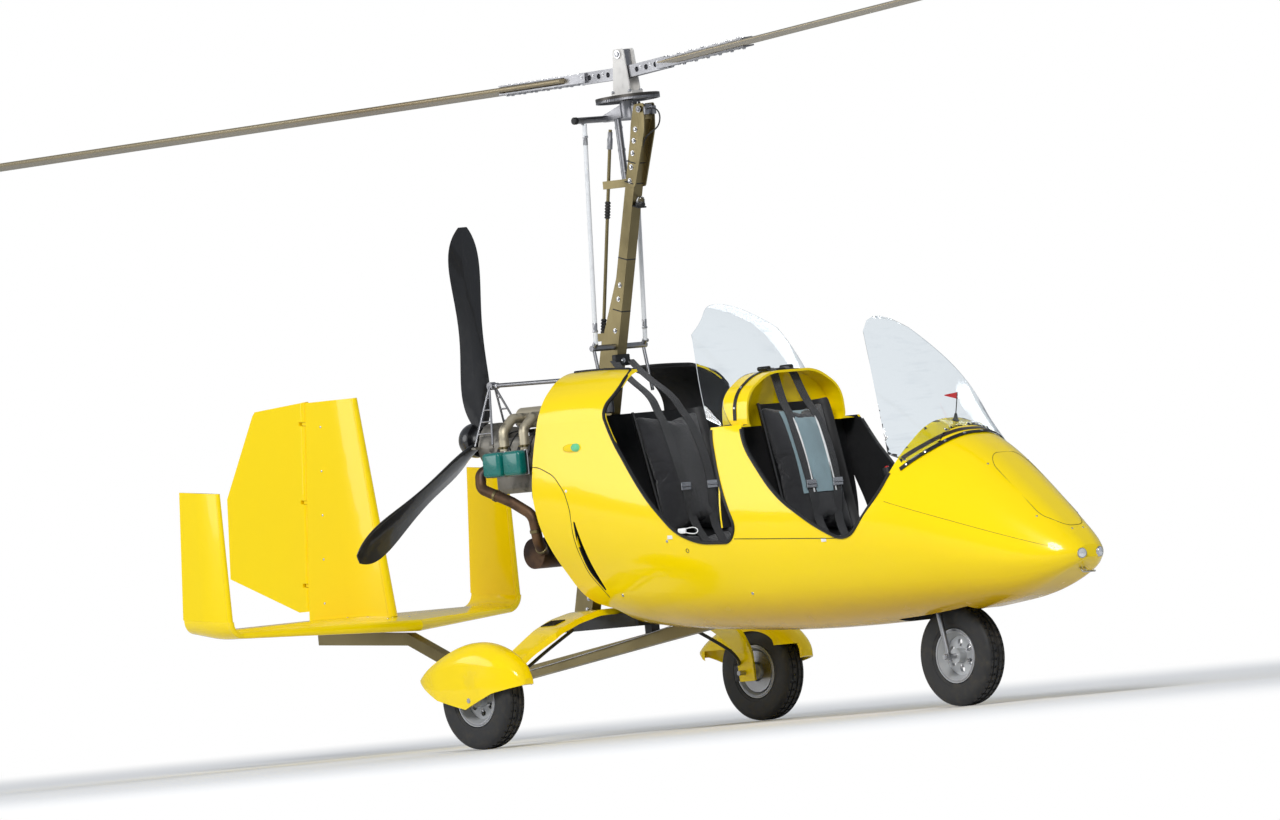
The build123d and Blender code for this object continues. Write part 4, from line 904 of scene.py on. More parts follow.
# Where the shoulder belts start: over the hoop for the front seat, at the mast for the rear one
hoop_top = on_top(0.700, 0.0)
mast_face_x = mast_front_x_at_top - (mast_top_z - 1.50) * math.tan(mast_lean)
belt_starts = {
    "front": ((0.668, 0.046, hoop_top.z - 0.004), (0.700, 0.046, hoop_top.z + 0.017),
              (0.742, 0.050, hoop_top.z + 0.004), (0.766, 0.058, 1.330)),
    "rear": ((mast_face_x + 0.004, 0.044, 1.500), (mast_face_x + 0.075, 0.050, 1.430), (0.030, 0.056, 1.345)),
}
for name, line in seats.items():
    front, hip, small, head = [Vector((x, 0, z)) for x, z in line]
    # Bucket: a moulded sheet with a rolled rim that wraps round the pads
    base_line = [front + Vector((0.0, 0, -0.052)), hip + Vector((0.02, 0, -0.05)), hip + Vector((-0.045, 0, -0.02)),
                 small + Vector((-0.052, 0, -0.01)), head + Vector((-0.046, 0, -0.012))]
    rows = []
    for share in (-1.0, -0.97, -0.86, 0.0, 0.86, 0.97, 1.0):
        wrap = 0.052 * max(abs(share) - 0.86, 0.0) / 0.14
        row = []
        for index, place in enumerate(base_line):
            raised = Vector((0.2, 0, 1.0)) if index < 3 else Vector((1.0, 0, 0.2))
            row.append(place + raised * wrap + Vector((0, share * seat_half, 0)))
        rows.append(row)
    finished(bridged(rows, 0.007, level=2), name + "_seat_shell", "black_panel", replaces=(name + "_seat",))

    pad_depth = 0.036
    pads = []
    for pad_name, inset, corners in (
        ("cushion", 0.026, ((front.x - 0.010, front.z - 0.008), (hip.x + 0.030, hip.z - 0.002),
                            (hip.x + 0.030, hip.z - pad_depth), (front.x - 0.010, front.z - pad_depth - 0.002))),
        ("lumbar", 0.026, ((small.x - 0.006, small.z + 0.010), (hip.x + 0.006, hip.z + 0.024),
                           (hip.x - 0.028, hip.z + 0.010), (small.x - 0.042, small.z + 0.004))),
        ("back", 0.024, ((head.x - 0.004, head.z - 0.018), (small.x - 0.006, small.z + 0.016),
                         (small.x - 0.042, small.z + 0.008), (head.x - 0.038, head.z - 0.026))),
    ):
        pad = padded_block(corners, inset)
        finished(pad, f"{name}_seat_{pad_name}", "black_seat", smooth=rounded)
        pads.append(pad)
    slope = (head - small).normalized()
    out = Vector((slope.z, 0, -slope.x))

    def on_back(share, y, lift):
        """Point on the pads, at a share of the way up the back."""
        return on_pads(pads, small.lerp(head, share) + Vector((0, y, 0)), out, lift)

    if name == "front":
        # Cloth panel let into the back pad, with two piped stripes
        shares = [0.30 + 0.61 * step / 8 for step in range(9)]
        rows = [[on_back(share, y, 0.0015) for share in shares]
                for y in (-0.105, -0.070, -0.035, 0.0, 0.035, 0.070, 0.105)]
        finished(bridged(rows, 0.005), "front_seat_panel", "pad_blue")
        piping = [pipe([on_back(share, y, 0.004) for share in shares], 0.005, 8, 2) for y in (-0.060, 0.060)]
        finished(piping, "front_seat_piping", "white_paint")

    # Four-point harness: shoulder belts down the back, lap belts across, and a turning buckle
    lap = Vector((0.25, 0, 1.0)).normalized()
    belts = []
    for side in (-1, 1):
        path = [Vector((x, side * y, z)) for x, y, z in belt_starts[name]]
        for share, y in ((0.97, 0.066), (0.88, 0.070), (0.74, 0.078), (0.58, 0.080), (0.42, 0.076), (0.26, 0.066),
                         (0.10, 0.054), (-0.10, 0.044), (-0.26, 0.034)):
            path.append(on_back(share, side * y, belt_lift))
        path.append(on_pads(pads, hip + Vector((0.075, side * 0.018, 0.0)), lap, 0.016))
        belts.append(belt(path, Vector((0, belt_half, 0))))
        across = ((0.082, 0.016), (0.085, 0.060), (0.080, 0.100), (0.062, 0.150), (0.030, 0.180))
        waist = [on_pads(pads, hip + Vector((x, side * y, 0.0)), lap, belt_lift) for x, y in across]
        belts.append(belt(waist, Vector((belt_half, 0, 0.003))))
    finished(belts, name + "_harness", "strap_cloth", smooth=rounded)
    buckle = turned([(-0.009, 0.001), (-0.009, 0.026), (0.004, 0.028), (0.009, 0.024), (0.009, 0.012),
                     (0.012, 0.011), (0.012, 0.001)], on_pads(pads, hip + Vector((0.084, 0, 0.0)), lap, 0.024), lap, 32)
    finished(buckle, name + "_buckle", "trim_black")
    adjusters = []
    for side in (-1, 1):
        place = on_back(0.36, side * 0.073, belt_lift + 0.002)
        frame_plate = slab(place - Vector((0.002, 0.027, 0.016)), place + Vector((0.006, 0.027, 0.016)), 0.002, 1)
        rod_across = bar(place + Vector((0.006, -0.024, 0)), place + Vector((0.006, 0.024, 0)), 0.004, 10)
        adjusters += [frame_plate, rod_across]
    finished(adjusters, name + "_belt_adjusters", "screw_steel")


# Instruments on the two panels: bezel, sunk face, scale marks and needle
dial_axis, dial_up = Vector((-1, 0, 0)), Vector((0, 0, 1))


def instrument(place, radius, angle):
    bezel = turned([(-0.004, radius), (0.004, radius), (0.006, radius * 0.96), (0.006, radius * 0.86),
                    (0.001, radius * 0.84), (0.001, 0.001)], place, dial_axis, 40)

    def mark(turn, near, far, lift, thickness):
        """Bar on the dial at an angle from straight up; near and far are shares of the radius."""
        turn = math.radians(turn)
        ray = (dial_up * math.cos(turn) + dial_axis.cross(dial_up) * math.sin(turn)) * radius
        start = place + dial_axis * lift
        return bar(start + ray * near, start + ray * far, thickness, 6)

    marks = [mark(-135 + 30 * step, 0.66, 0.79, 0.0014, 0.0008) for step in range(10)]
    marks.append(mark(angle, -0.12, 0.62, 0.0024, 0.0011))
    marks.append(dome(place + dial_axis * 0.0024, dial_axis, radius * 0.09, 0.0014, 12))
    return bezel, marks


panel_dials = {
    "front": (1.668, 0.905, ((-0.150, 0.040), (-0.150, -0.055), (0.150, 0.040), (0.150, -0.055), (0.0, 0.112)), 0.026),
    "rear": (0.676, 1.130, ((-0.160, 0.020), (0.160, 0.020), (0.0, 0.130)), 0.030),
}
for name, (panel_x, middle_z, dials, radius) in panel_dials.items():
    bezels, marks = [], []
    for index, (y, rise) in enumerate(dials):
        bezel, scale = instrument(Vector((panel_x, y, middle_z + rise)), radius, -120 + 55 * index)
        bezels.append(bezel)
        marks += scale
    finished(bezels, name + "_dials", "dial_face")
    finished(marks, name + "_dial_marks", "dial_white")
    display = slab((panel_x - 0.008, -0.088, middle_z - 0.070), (panel_x + 0.001, 0.088, middle_z + 0.052), 0.004, 2)
    with editing(display):
        pick_faces(display, lambda centre, normal: normal.x < -0.9)
        bpy.ops.mesh.inset(thickness=0.010, depth=0.0)
        bpy.ops.mesh.inset(thickness=0.0015, depth=-0.003)
    finished(display, name + "_display", "screen_dark")
    controls = []
    for step in range(6):
        place = Vector((panel_x, -0.075 + 0.03 * step, middle_z - 0.090))
        controls.append(bar(place, place + Vector((-0.006, 0, 0)), 0.006, 6, 0.0008))
        controls.append(bar(place, place + Vector((-0.019, 0, 0.006)), 0.0024, 10))
    finished(controls, name + "_switches", "screw_steel")

# Trim of the control sticks: grip ribs and a push button
for name, stick_x in (("front", 1.360), ("rear", 0.630)):
    top = Vector((stick_x - 0.078, 0.0, 0.958))
    rise = Vector((-0.164, 0, 0.986))
    rings = [turned([(-0.002, 0.0199), (0.0, 0.0216), (0.002, 0.0199)], top - rise * (0.022 + 0.016 * step), rise, 24)
             for step in range(5)]
    finished(rings, name + "_grip_rings", "trim_black")
    button = turned([(-0.002, 0.008), (0.004, 0.008), (0.0055, 0.006), (0.0055, 0.001)], top + rise * 0.008, rise, 16)
    finished(button, name + "_grip_button", "button_red")

# Rudder pedals and throttle quadrant
for name, foot_x in (("front", 1.560), ("rear", 0.900)):
    pedals = []
    for side in (-1, 1):
        y = side * (0.135 if name == "front" else 0.235)
        pedals.append(bar((foot_x, y, 0.437), (foot_x + 0.02, y, 0.560), 0.008, 16))
        plate = slab((foot_x + 0.004, y - 0.032, 0.545), (foot_x + 0.014, y + 0.032, 0.645), 0.004, 2)
        with editing(plate):
            pick_faces(plate, lambda centre, normal: normal.x < -0.9)
            bpy.ops.mesh.inset(thickness=0.007, depth=-0.002)
        pedals.append(plate)
    finished(pedals, name + "_pedals", "machined_aluminium")

quadrant = slab((1.060, 0.300, 0.600), (1.230, 0.330, 0.650), 0.006, 2)
finished(quadrant, "throttle_quadrant", "black_panel")
levers = []
for x, lean in ((1.110, -0.035), (1.180, 0.030)):
    levers.append(bar((x, 0.315, 0.645), (x + lean, 0.315, 0.730), 0.005, 14))
    levers.append(turned([(-0.014, 0.001), (-0.012, 0.009), (0.0, 0.013), (0.012, 0.009), (0.014, 0.001)],
                         (x + lean, 0.315, 0.737), (lean, 0, 0.09), 20))
finished(levers, "throttle_levers", "machined_aluminium")

# Belt brackets: on top of the hoop for the front seat, and on the mast for the rear one
bracket = slab((0.672, -0.055, hoop_top.z - 0.004), (0.728, 0.055, hoop_top.z + 0.010), 0.004, 2)
guides = [bracket]
for side in (-1, 1):
    y, z = side * 0.062, hoop_top.z + 0.012
    guides.append(bar((0.668, y, z), (0.732, y, z), 0.009, 18, 0.002))
finished(guides, "front_belt_bracket", "trim_black")
anchor = slab((mast_face_x - 0.012, -0.040, 1.478), (mast_face_x + 0.012, 0.040, 1.524), 0.004, 2)
finished(anchor, "rear_belt_bracket", "trim_black")
anchor_screw = bolt((mast_face_x + 0.011, 0.0, 1.501), (1, 0, 0.29), 0.008, 0.006)
finished(anchor_screw, "rear_belt_screw", "screw_steel")

# Airspeed pennant: a stand on top of the dome, with a small red flag that points aft
dome_place = on_top(1.690, 0.0)
stand_foot = turned([(-0.006, 0.014), (0.003, 0.014), (0.006, 0.010), (0.030, 0.0045), (0.030, 0.001)],
                    dome_place, (0.20, 0, 1), 24)
pole_top = dome_place + Vector((0.026, 0, 0.112))
stand = bar(dome_place + Vector((0.004, 0, 0.02)), pole_top, 0.0020, 10)
finished([stand_foot, stand], "pennant_stand", "trim_black")
high_edge = [pole_top + Vector((-0.072 * s, 0.003 * math.sin(5 * s), -0.006 * s)) for s in quarters]
low_edge = [pole_top + Vector((-0.004 - 0.068 * s, 0.003 * math.sin(5 * s + 0.4), -0.028 + 0.019 * s))
            for s in quarters]
pennant = ribbon(low_edge, high_edge, 0.0008)
finished(pennant, "pennant", "flag_red")

# Nose: two round lamps in bright rims
for name, side in side_sign.items():
    place, normal = surface_point("hull", (3.0, side * 0.050, 0.558), (-1, 0, 0))
    axis = Vector((1.0, side * 0.30, 0.02)).normalized()
    rim = turned([(-0.012, 0.0205), (0.002, 0.0205), (0.004, 0.0196), (0.004, 0.0178), (0.001, 0.0168),
                  (-0.001, 0.0100), (-0.001, 0.001)], place, axis, 40)
    finished(rim, "nose_lamp_rim_" + name, "screw_steel")
    lens = turned([(0.0015, 0.0172), (0.0030, 0.0174), (0.0048, 0.0125), (0.0058, 0.001)], place, axis, 32)
    finished(lens, "nose_lamp_lens_" + name, "lamp_silver")


# Tyres: a turned section with round grooves, then sipes pressed into the ribs
tyre_section = (
    (-0.036, 0.1085), (-0.0425, 0.1130), (-0.0465, 0.1230), (-0.0478, 0.1236), (-0.0490, 0.1360), (-0.0499, 0.1560),
    (-0.0493, 0.1740), (-0.0470, 0.1850), (-0.0420, 0.1935), (-0.0360, 0.1975), (-0.0300, 0.1990),
    (-0.0265, 0.1995), (-0.0262, 0.1945), (-0.0212, 0.1945), (-0.0208, 0.1998), (-0.0080, 0.2000),
    (-0.0077, 0.1945), (-0.0030, 0.1945),
)
tyre_profile = list(tyre_section) + [(-along, radius) for along, radius in reversed(tyre_section)] + [tyre_section[0]]
tyre_steps = 120
groove_bottom, middle_rib_half, sipe_depth = 0.1955, 0.0085, 0.0042


def make_tyre(name, body, centre):
    tyre = turned(tyre_profile, (0, 0, 0), (0, 0, 1), tyre_steps)
    with editing(tyre):
        def in_sipe(place, normal):
            step = int(round((math.atan2(place.y, place.x) % math.tau) / math.tau * tyre_steps - 0.5))
            rib = math.hypot(place.x, place.y) > groove_bottom
            shift = 0 if place.z > 0 else 1
            return rib and middle_rib_half < abs(place.z) and (step + shift) % 3 == 0
        pick_faces(tyre, in_sipe)
        bpy.ops.mesh.extrude_region_shrink_fatten(TRANSFORM_OT_shrink_fatten={"value": -sipe_depth})
    turned_to(tyre, Vector((0, 1, 0)).to_track_quat("Z", "X"), centre)
    finished(tyre, name + "_tread", "tyre_rubber", body, smooth=30.0, replaces=(name,))


make_tyre("nose_tyre", "nose_wheel", nose_axle)
for name, side in side_sign.items():
    make_tyre("main_tyre_" + name, "main_wheel_" + name, Vector((main_axle_x, side * main_track_half, tyre_radius)))


def wheel_trim(name, body, centre, faces, nut_reach):
    """Bolts between the rim's holes, valve stem and hub ring; faces are the sides that carry them."""
    parts = []
    for side in faces:
        axis = Vector((0, side, 0))
        for step in range(6):
            turn = math.radians(30 + 60 * step)
            place = centre + Vector((0.042 * math.cos(turn), side * 0.0075, 0.042 * math.sin(turn)))
            parts.append(bolt(place, axis, 0.0052, 0.0052))
        parts.append(turned([(0.0, 0.0155), (nut_reach, 0.0155), (nut_reach + 0.002, 0.0135),
                             (nut_reach + 0.002, 0.0116)], centre + axis * 0.022, axis, 6))
    stem = Vector((0.088 * math.cos(0.4), faces[0] * 0.012, 0.088 * math.sin(0.4)))
    parts.append(bar(centre + stem, centre + stem * 0.80 + Vector((0, faces[0] * 0.022, 0)), 0.0034, 12, 0.0006))
    finished(parts, name, "screw_steel", body)
    rings = [turned([(0.0, 0.0975), (0.0018, 0.0985), (0.0018, 0.1035), (0.0, 0.1050)],
                    centre + Vector((0, side * 0.0418, 0)), (0, side, 0), 72) for side in (-1, 1)]
    finished(rings, name + "_rim_rings", "machined_aluminium", body)


wheel_trim("nose_wheel_bolts", "nose_wheel", nose_axle, (-1, 1), 0.012)
for name, side in side_sign.items():
    centre = Vector((main_axle_x, side * main_track_half, tyre_radius))
    wheel_trim("main_wheel_bolts_" + name, "main_wheel_" + name, centre, (side,), 0.010)
    # Brake: a disc on the wheel's inner side and a caliper on the leg
    disc = turned([(0.0, 0.040), (0.0, 0.084), (0.004, 0.084), (0.004, 0.040), (0.0, 0.040)],
                  centre - Vector((0, side * 0.034, 0)), (0, side, 0), 60)
    finished(disc, "brake_disc_" + name, "steel", "main_wheel_" + name)
    caliper = side_slab((main_axle_x - 0.094, main_axle_x - 0.044), (0.704, 0.722), (0.168, 0.232), side, 0.005)
    pins = [bolt((main_axle_x - 0.069, side * 0.720, z), (0, side, 0), 0.005, 0.004) for z in (0.183, 0.217)]
    finished([caliper] + pins, "brake_caliper_" + name, "black_metal")
    hose = ((-0.312, 0.285, 0.440), (-0.312, 0.350, 0.410), (-0.312, 0.450, 0.362), (-0.312, 0.575, 0.296),
            (-0.335, 0.640, 0.252), (-0.385, 0.685, 0.230), (-0.414, 0.708, 0.224))
    cord("brake_hose_" + name, "cable_black", 0.014, [(x, side * y, z) for x, y, z in hose])

    # Ribbed tread mat on the leg
    def on_leg(x, share, lift):
        """Point on top of the leg, at a share of the mat's width from its inner edge."""
        place, _ = surface_point("gear_bow", (x, side * (0.345 + 0.060 * share), 0.9), (0, 0, -1))
        return place + Vector((0, 0, lift))

    edges = [[on_leg(x, share, 0.002) for share in quarters] for x in (-0.370, -0.285)]
    finished(ribbon(*edges, 0.004, 0.0008), "step_pad_" + name, "trim_black")
    ribs = [pipe([on_leg(-0.364 + 0.0091 * step, 0.06 + 0.88 * share, 0.0044) for share in quarters], 0.0013, 6, 3)
            for step in range(9)]
    finished(ribs, "step_pad_ribs_" + name, "trim_black")


# Bolts that hold the bow to its tray, and the nuts on the fork's axle
tray_bolts = [bolt((x, side * 0.085, 0.4878), (0, 0, 1), 0.008, 0.007) for x in (-0.430, -0.160) for side in (-1, 1)]
finished(tray_bolts, "tray_bolts", "screw_steel")
fork_nuts = [turned([(0.0, 0.0120), (0.010, 0.0120), (0.0115, 0.0105), (0.0115, 0.0085)],
                    nose_axle + Vector((0, side * 0.089, 0)), (0, side, 0), 6) for side in (-1, 1)]
finished(fork_nuts, "fork_nuts", "screw_steel", "nose_fork")


# Mast and rotor head
lean_turn = Quaternion((0, 1, 0), mast_lean)
mast_up = lean_turn @ Vector((0, 0, 1))
mast_ahead = lean_turn @ Vector((1, 0, 0))


def mast_place(z, ahead=0.0, y=0.0):
    """Point at a height on the mast's middle line, moved ahead square to it and to port."""
    front_x = mast_front_x_at_top - (mast_top_z - z) * math.tan(mast_lean)
    middle = Vector((front_x - mast_half / math.cos(mast_lean), 0.0, z))
    return middle + mast_ahead * ahead + Vector((0, y, 0))


def leaned(piece, z):
    """Turns a piece modelled upright about the origin to the mast's lean, at a height on the mast."""
    return turned_to(piece, lean_turn, mast_place(z))


ties = []
for z in (2.285, 2.204, 1.905, 1.700):
    reach = 0.0325 if z > 2.19 else 0.0262
    tie = slab((-0.0262, -reach, -0.0025), (0.0262, reach, 0.0025), 0.0012, 1)
    lock = slab((-0.034, -0.006, -0.0045), (-0.024, 0.006, 0.0045), 0.001, 1)
    ties.append(leaned(joined([tie, lock]), z))
finished(ties, "mast_ties", "cable_black")

cheek_bolts = []
for z, ahead in ((2.370, 0.004), (2.321, 0.004), (2.266, 0.004), (2.212, 0.004), (2.415, 0.006)):
    for side in (-1, 1):
        cheek_bolts.append(bolt(mast_place(z, ahead, side * 0.0308), (0, side, 0), 0.0075, 0.0068))
for z in (1.800, 1.745, 1.620, 0.560, 0.515):
    for side in (-1, 1):
        cheek_bolts.append(bolt(mast_place(z, 0.0, side * 0.0248), (0, side, 0), 0.0070, 0.0062))
finished(cheek_bolts, "mast_bolts", "screw_steel")

strobe_bracket = leaned(slab((0.024, -0.024, -0.004), (0.060, 0.024, 0.002), 0.002, 1), 2.118)
strobe_base = turned([(0.0, 0.001), (0.0, 0.020), (0.010, 0.021), (0.014, 0.019), (0.014, 0.001)],
                     mast_place(2.120, 0.044), mast_up, 32)
finished([strobe_bracket, strobe_base], "strobe_base", "trim_black")
strobe_lens = turned([(0.012, 0.018), (0.026, 0.0175), (0.036, 0.012), (0.040, 0.001)],
                     mast_place(2.120, 0.044), mast_up, 32)
finished(strobe_lens, "strobe_lens", "lamp_glass")

# Rod ends, jam nuts and crossbar caps
rod_top, rod_foot = Vector((-0.120, 0, 2.456)), Vector((-0.176, 0, 1.572))
rod_along = (rod_top - rod_foot).normalized()
nuts, caps = [], []
for side in (-1, 1):
    y = Vector((0, side * 0.137, 0))
    for place, way in ((rod_top, -1), (rod_foot, 1)):
        base = place + y + rod_along * way * 0.048
        nuts.append(bar(base, base + rod_along * way * 0.009, 0.0118, 6, 0.0008))
        nuts.append(turned([(-0.004, 0.0090), (0.026, 0.0098), (0.028, 0.0090)], base + rod_along * way * 0.010,
                           rod_along * way, 24))
    for place in (rod_top, rod_foot):
        nuts.append(bolt(place + y * 1.085, (0, side, 0), 0.0052, 0.0048))
    tip = Vector((-0.125, side * 0.188, 2.470))
    caps.append(turned([(-0.012, 0.0132), (-0.012, 0.0148), (0.002, 0.0148), (0.005, 0.0125), (0.005, 0.001)],
                       tip, (0, side, 0), 32))
finished(nuts, "rod_end_nuts", "steel")
finished(caps, "crossbar_caps", "trim_black")

# Trim cylinder bands, prerotator drive boots, tilt-pin bolts, control boxes
trim_low, trim_high = Vector((-0.057, 0, 2.240)), Vector((-0.069, 0, 2.448))
trim_axis = (trim_high - trim_low).normalized()
bands = [band(trim_low + trim_axis * along, trim_axis, 0.0138, 0.0156, 0.006, 0.001)
         for along in (0.012, 0.100, 0.190)]
finished(bands, "trim_bands", "machined_aluminium")
shaft_top, shaft_foot = Vector((-0.118, 0, 2.425)), Vector((-0.281, 0, 1.560))
shaft_along = (shaft_top - shaft_foot).normalized()
rows = [(-0.040, 0.0072)]
for step in range(6):
    rows += [(-0.036 + 0.012 * step, 0.0128), (-0.030 + 0.012 * step, 0.0088)]
boots = [turned(rows, shaft_foot + shaft_along * along, shaft_along, 24) for along in (0.085, 0.560)]
finished(boots, "drive_boots", "tyre_rubber")

head_parts = [slab((0.112, y - 0.011, 2.468), (0.128, y + 0.011, 2.502), 0.003) for y in (-0.020, 0.020)]
for side in (-1, 1):
    head_parts.append(bolt((0.095, side * 0.0385, 2.492), (0, side, 0), 0.0092, 0.0050))
    for x in (-0.012, 0.045):
        head_parts.append(bolt((x, side * 0.0178, 2.518), (0, side, 0), 0.0048, 0.0042))
finished(head_parts, "head_fittings", "machined_aluminium")
cord("head_cable", "cable_black", 0.006, [
    (0.126, -0.020, 2.490), (0.172, -0.020, 2.494), (0.204, -0.022, 2.462), (0.190, -0.024, 2.414),
    (0.136, -0.026, 2.392), (0.098, -0.022, 2.372), (0.080, -0.020, 2.340)])
cord("trim_hose", "cable_black", 0.005, [
    (-0.060, 0.010, 2.236), (-0.064, 0.014, 2.205), (-0.058, 0.020, 2.150), (-0.072, 0.022, 2.060),
    (-0.093, 0.014, 1.960), (-0.1105, 0.006, 1.905)])

# Rotating head: gear teeth, foot and strap bolts, teeter-bolt nut
hub_axis = Quaternion((0, 1, 0), -rotor_tilt) @ Vector((0, 0, 1))
tooth_steps, tooth_depth = 168, 0.0034
ring_half, ring_bore, ring_rim = 0.0045, 0.1225, 0.1298
teeth = turned([(-ring_half, ring_bore), (-ring_half, ring_rim), (ring_half, ring_rim), (ring_half, ring_bore),
                (-ring_half, ring_bore)], (0, 0, 0), (0, 0, 1), tooth_steps)
with editing(teeth):
    def in_gap(place, normal):
        step = int((math.atan2(place.y, place.x) % math.tau) / math.tau * tooth_steps)
        return math.hypot(place.x, place.y) > ring_rim - 0.0008 and step % 2 == 0
    pick_faces(teeth, in_gap)
    bpy.ops.mesh.extrude_region_shrink_fatten(TRANSFORM_OT_shrink_fatten={"value": -tooth_depth})
turned_to(teeth, hub_axis.to_track_quat("Z", "X"), Vector((0, 0, disc_z)) - hub_axis * 0.0106)
finished(teeth, "gear_teeth", "machined_aluminium", "rotor_hub")
hub_bolts = []
for x in (-0.048, 0.048):
    for y in (-0.030, 0.030):
        hit, place, normal = surface_hit("hub_tower", (x, y, 2.66), (0, 0, -1))
        if hit and place.z < 2.60:
            hub_bolts.append(bolt(place, normal, 0.0065, 0.006))
for side in (-1, 1):
    hub_bolts.append(bolt((0.0, side * 0.0355, teeter_z), (0, side, 0), 0.0115, 0.0055))
finished(hub_bolts, "hub_bolts", "screw_steel", "rotor_hub")

strap_bolts = []
for way in (-1, 1):
    for step in range(7):
        x = way * (0.262 + 0.070 * step)
        faces = [surface_point("hub_bar", (x, 0.0, z), (0, 0, down)) for z, down in ((3.2, -1), (2.3, 1))]
        for y in (-0.014, 0.014):
            strap_bolts += [bolt(place + Vector((0, y, 0)), normal, 0.0062, 0.0058) for place, normal in faces]
    for x in (0.112, 0.168, 0.224):
        for side in (-1, 1):
            z = 2.652 + x * math.tan(rotor_cone) + way * x * math.tan(rotor_tilt)
            strap_bolts.append(bolt(*surface_point("hub_bar", (way * x, side * 0.3, z), (0, -side, 0)), 0.0042, 0.0034))
finished(strap_bolts, "rotor_bolts", "screw_steel", "rotor")

# The shaft's upper bracket on the mast is a bare light plate
mast_mesh = nodes["mast"].data
mast_mesh.materials.append(painted("bracket_plate", shade(196, 192, 184), 0.4).material)
for face in mast_mesh.polygons:
    if 2.15 < face.center.z < 2.26 and face.center.x < mast_place(face.center.z).x - 0.0275:
        face.material_index = 1
shaft_fitting = turned([(0.0, 0.0074), (0.002, 0.0112), (0.044, 0.0112), (0.048, 0.0095), (0.070, 0.0095),
                        (0.072, 0.0074)], shaft_foot + shaft_along * 0.800, shaft_along, 24)
finished(shaft_fitting, "shaft_fitting", "machined_aluminium")


# Engine
cover_xs, cover_z = (-0.585, -0.705), 1.130
covers, cover_edges, cover_nuts = [], [], []
for side in (-1, 1):
    for x in cover_xs:
        covers.append(side_slab((x - 0.052, x + 0.052), (0.236, 0.285), (cover_z - 0.050, cover_z + 0.050),
                                side, 0.017, 5))
        cover_edges.append(side_slab((x - 0.053, x + 0.053), (0.2285, 0.2370), (cover_z - 0.0515, cover_z + 0.0515),
                                     side, 0.003, 1))
        for dx in (-0.047, 0.047):
            cover_nuts.append(bolt((x + dx * 0.96, side * 0.2365, cover_z + 0.0470), (0, side, 0), 0.0036, 0.0060))
finished(covers, "rocker_covers", "green_cover", smooth=rounded, replaces=("valve_covers",))
finished(cover_edges, "cover_joints", "machined_aluminium")
finished(cover_nuts, "cover_nuts", "screw_steel")

# Plug leads from the coil box on the case to each head
coil_box = slab((-0.700, -0.062, 1.232), (-0.590, 0.062, 1.262), 0.006, 2)
with editing(coil_box):
    pick_faces(coil_box, lambda centre, normal: normal.z > 0.9)
    bpy.ops.mesh.inset(thickness=0.008, depth=0.0)
    bpy.ops.mesh.inset(thickness=0.001, depth=-0.003)
finished(coil_box, "coil_box", "black_panel")
boots = []
for side, name in right_left:
    for index, x in enumerate((-0.555, -0.615, -0.675, -0.735)):
        boots.append(turned([(-0.012, 0.0075), (0.010, 0.0085), (0.020, 0.0068), (0.026, 0.0045)],
                            (x, side * 0.205, 1.172), (0, -side * 0.35, 1), 16))
        start_x = -0.605 - 0.027 * index
        lead = ((start_x, 0.058, 1.250), (start_x, 0.084, 1.254), ((start_x + x) / 2, 0.130, 1.262),
                (x, 0.172, 1.232), (x, 0.194, 1.200))
        cord(f"plug_lead_{name}_{index + 1}", "cable_black", 0.0065, sided(side, lead))
finished(boots, "plug_boots", "trim_black")

# Clamps on the intake runners and the exhaust
clamps = []
for side in (-1, 1):
    for x in cover_xs:
        clamps.append(band((x, side * 0.196, 1.196), (0, 0, 1), 0.0202, 0.0222, 0.005, 0.001))
        clamps.append(bar((x - 0.012, side * 0.219, 1.196), (x + 0.012, side * 0.219, 1.196), 0.0036, 10, 0.0005))
finished(clamps, "intake_clamps", "stainless")
clamps = []
for side in (-1, 1):
    for spot in (((-0.566, 0.1975, 0.850), (0.0, -0.13, -1.0)),
                 ((-0.728, 0.2435, 1.0065), (0.92, -0.095, -0.385)),
                 ((-0.583, 0.160, 0.780), (-0.35, -0.62, -0.42))):
        clamps.append(band(*sided(side, spot), 0.0222, 0.0248, 0.007, 0.001))
finished(clamps, "exhaust_clamps", "stainless")

# Coolant and oil hoses that run into the hull
coolant_hose = ((-0.470, 0.112, 1.060), (-0.462, 0.150, 1.030), (-0.430, 0.190, 0.985), (-0.370, 0.200, 0.930),
                (-0.290, 0.200, 0.900), (-0.230, 0.200, 0.895))
oil_hose = ((-0.640, 0.112, 1.030), (-0.638, 0.134, 0.985), (-0.560, 0.150, 0.925), (-0.450, 0.145, 0.880),
            (-0.320, 0.140, 0.870), (-0.230, 0.140, 0.870))
for side, name in right_left:
    cord("coolant_hose_" + name, "tyre_rubber", 0.026, sided(side, coolant_hose))
    cord("oil_hose_" + name, "tyre_rubber", 0.015, sided(side, oil_hose))
cord("throttle_cable", "cable_black", 0.006, [
    (-0.500, -0.035, 1.318), (-0.455, -0.045, 1.330), (-0.400, -0.060, 1.290), (-0.320, -0.065, 1.210),
    (-0.230, -0.065, 1.170)])
oil_filter = turned([(0.0, 0.030), (0.004, 0.038), (0.070, 0.038), (0.078, 0.034), (0.082, 0.020), (0.082, 0.001)],
                    (-0.520, 0.0, 1.008), (0.0, 0, -1), 40)
finished(oil_filter, "oil_filter", "black_metal")
starter = turned([(0.0, 0.001), (0.0, 0.026), (0.006, 0.030), (0.100, 0.030), (0.106, 0.026), (0.120, 0.018),
                  (0.120, 0.001)], (-0.870, 0.0, 1.052), (1, 0, 0), 36)
finished(starter, "starter_motor", "black_metal")

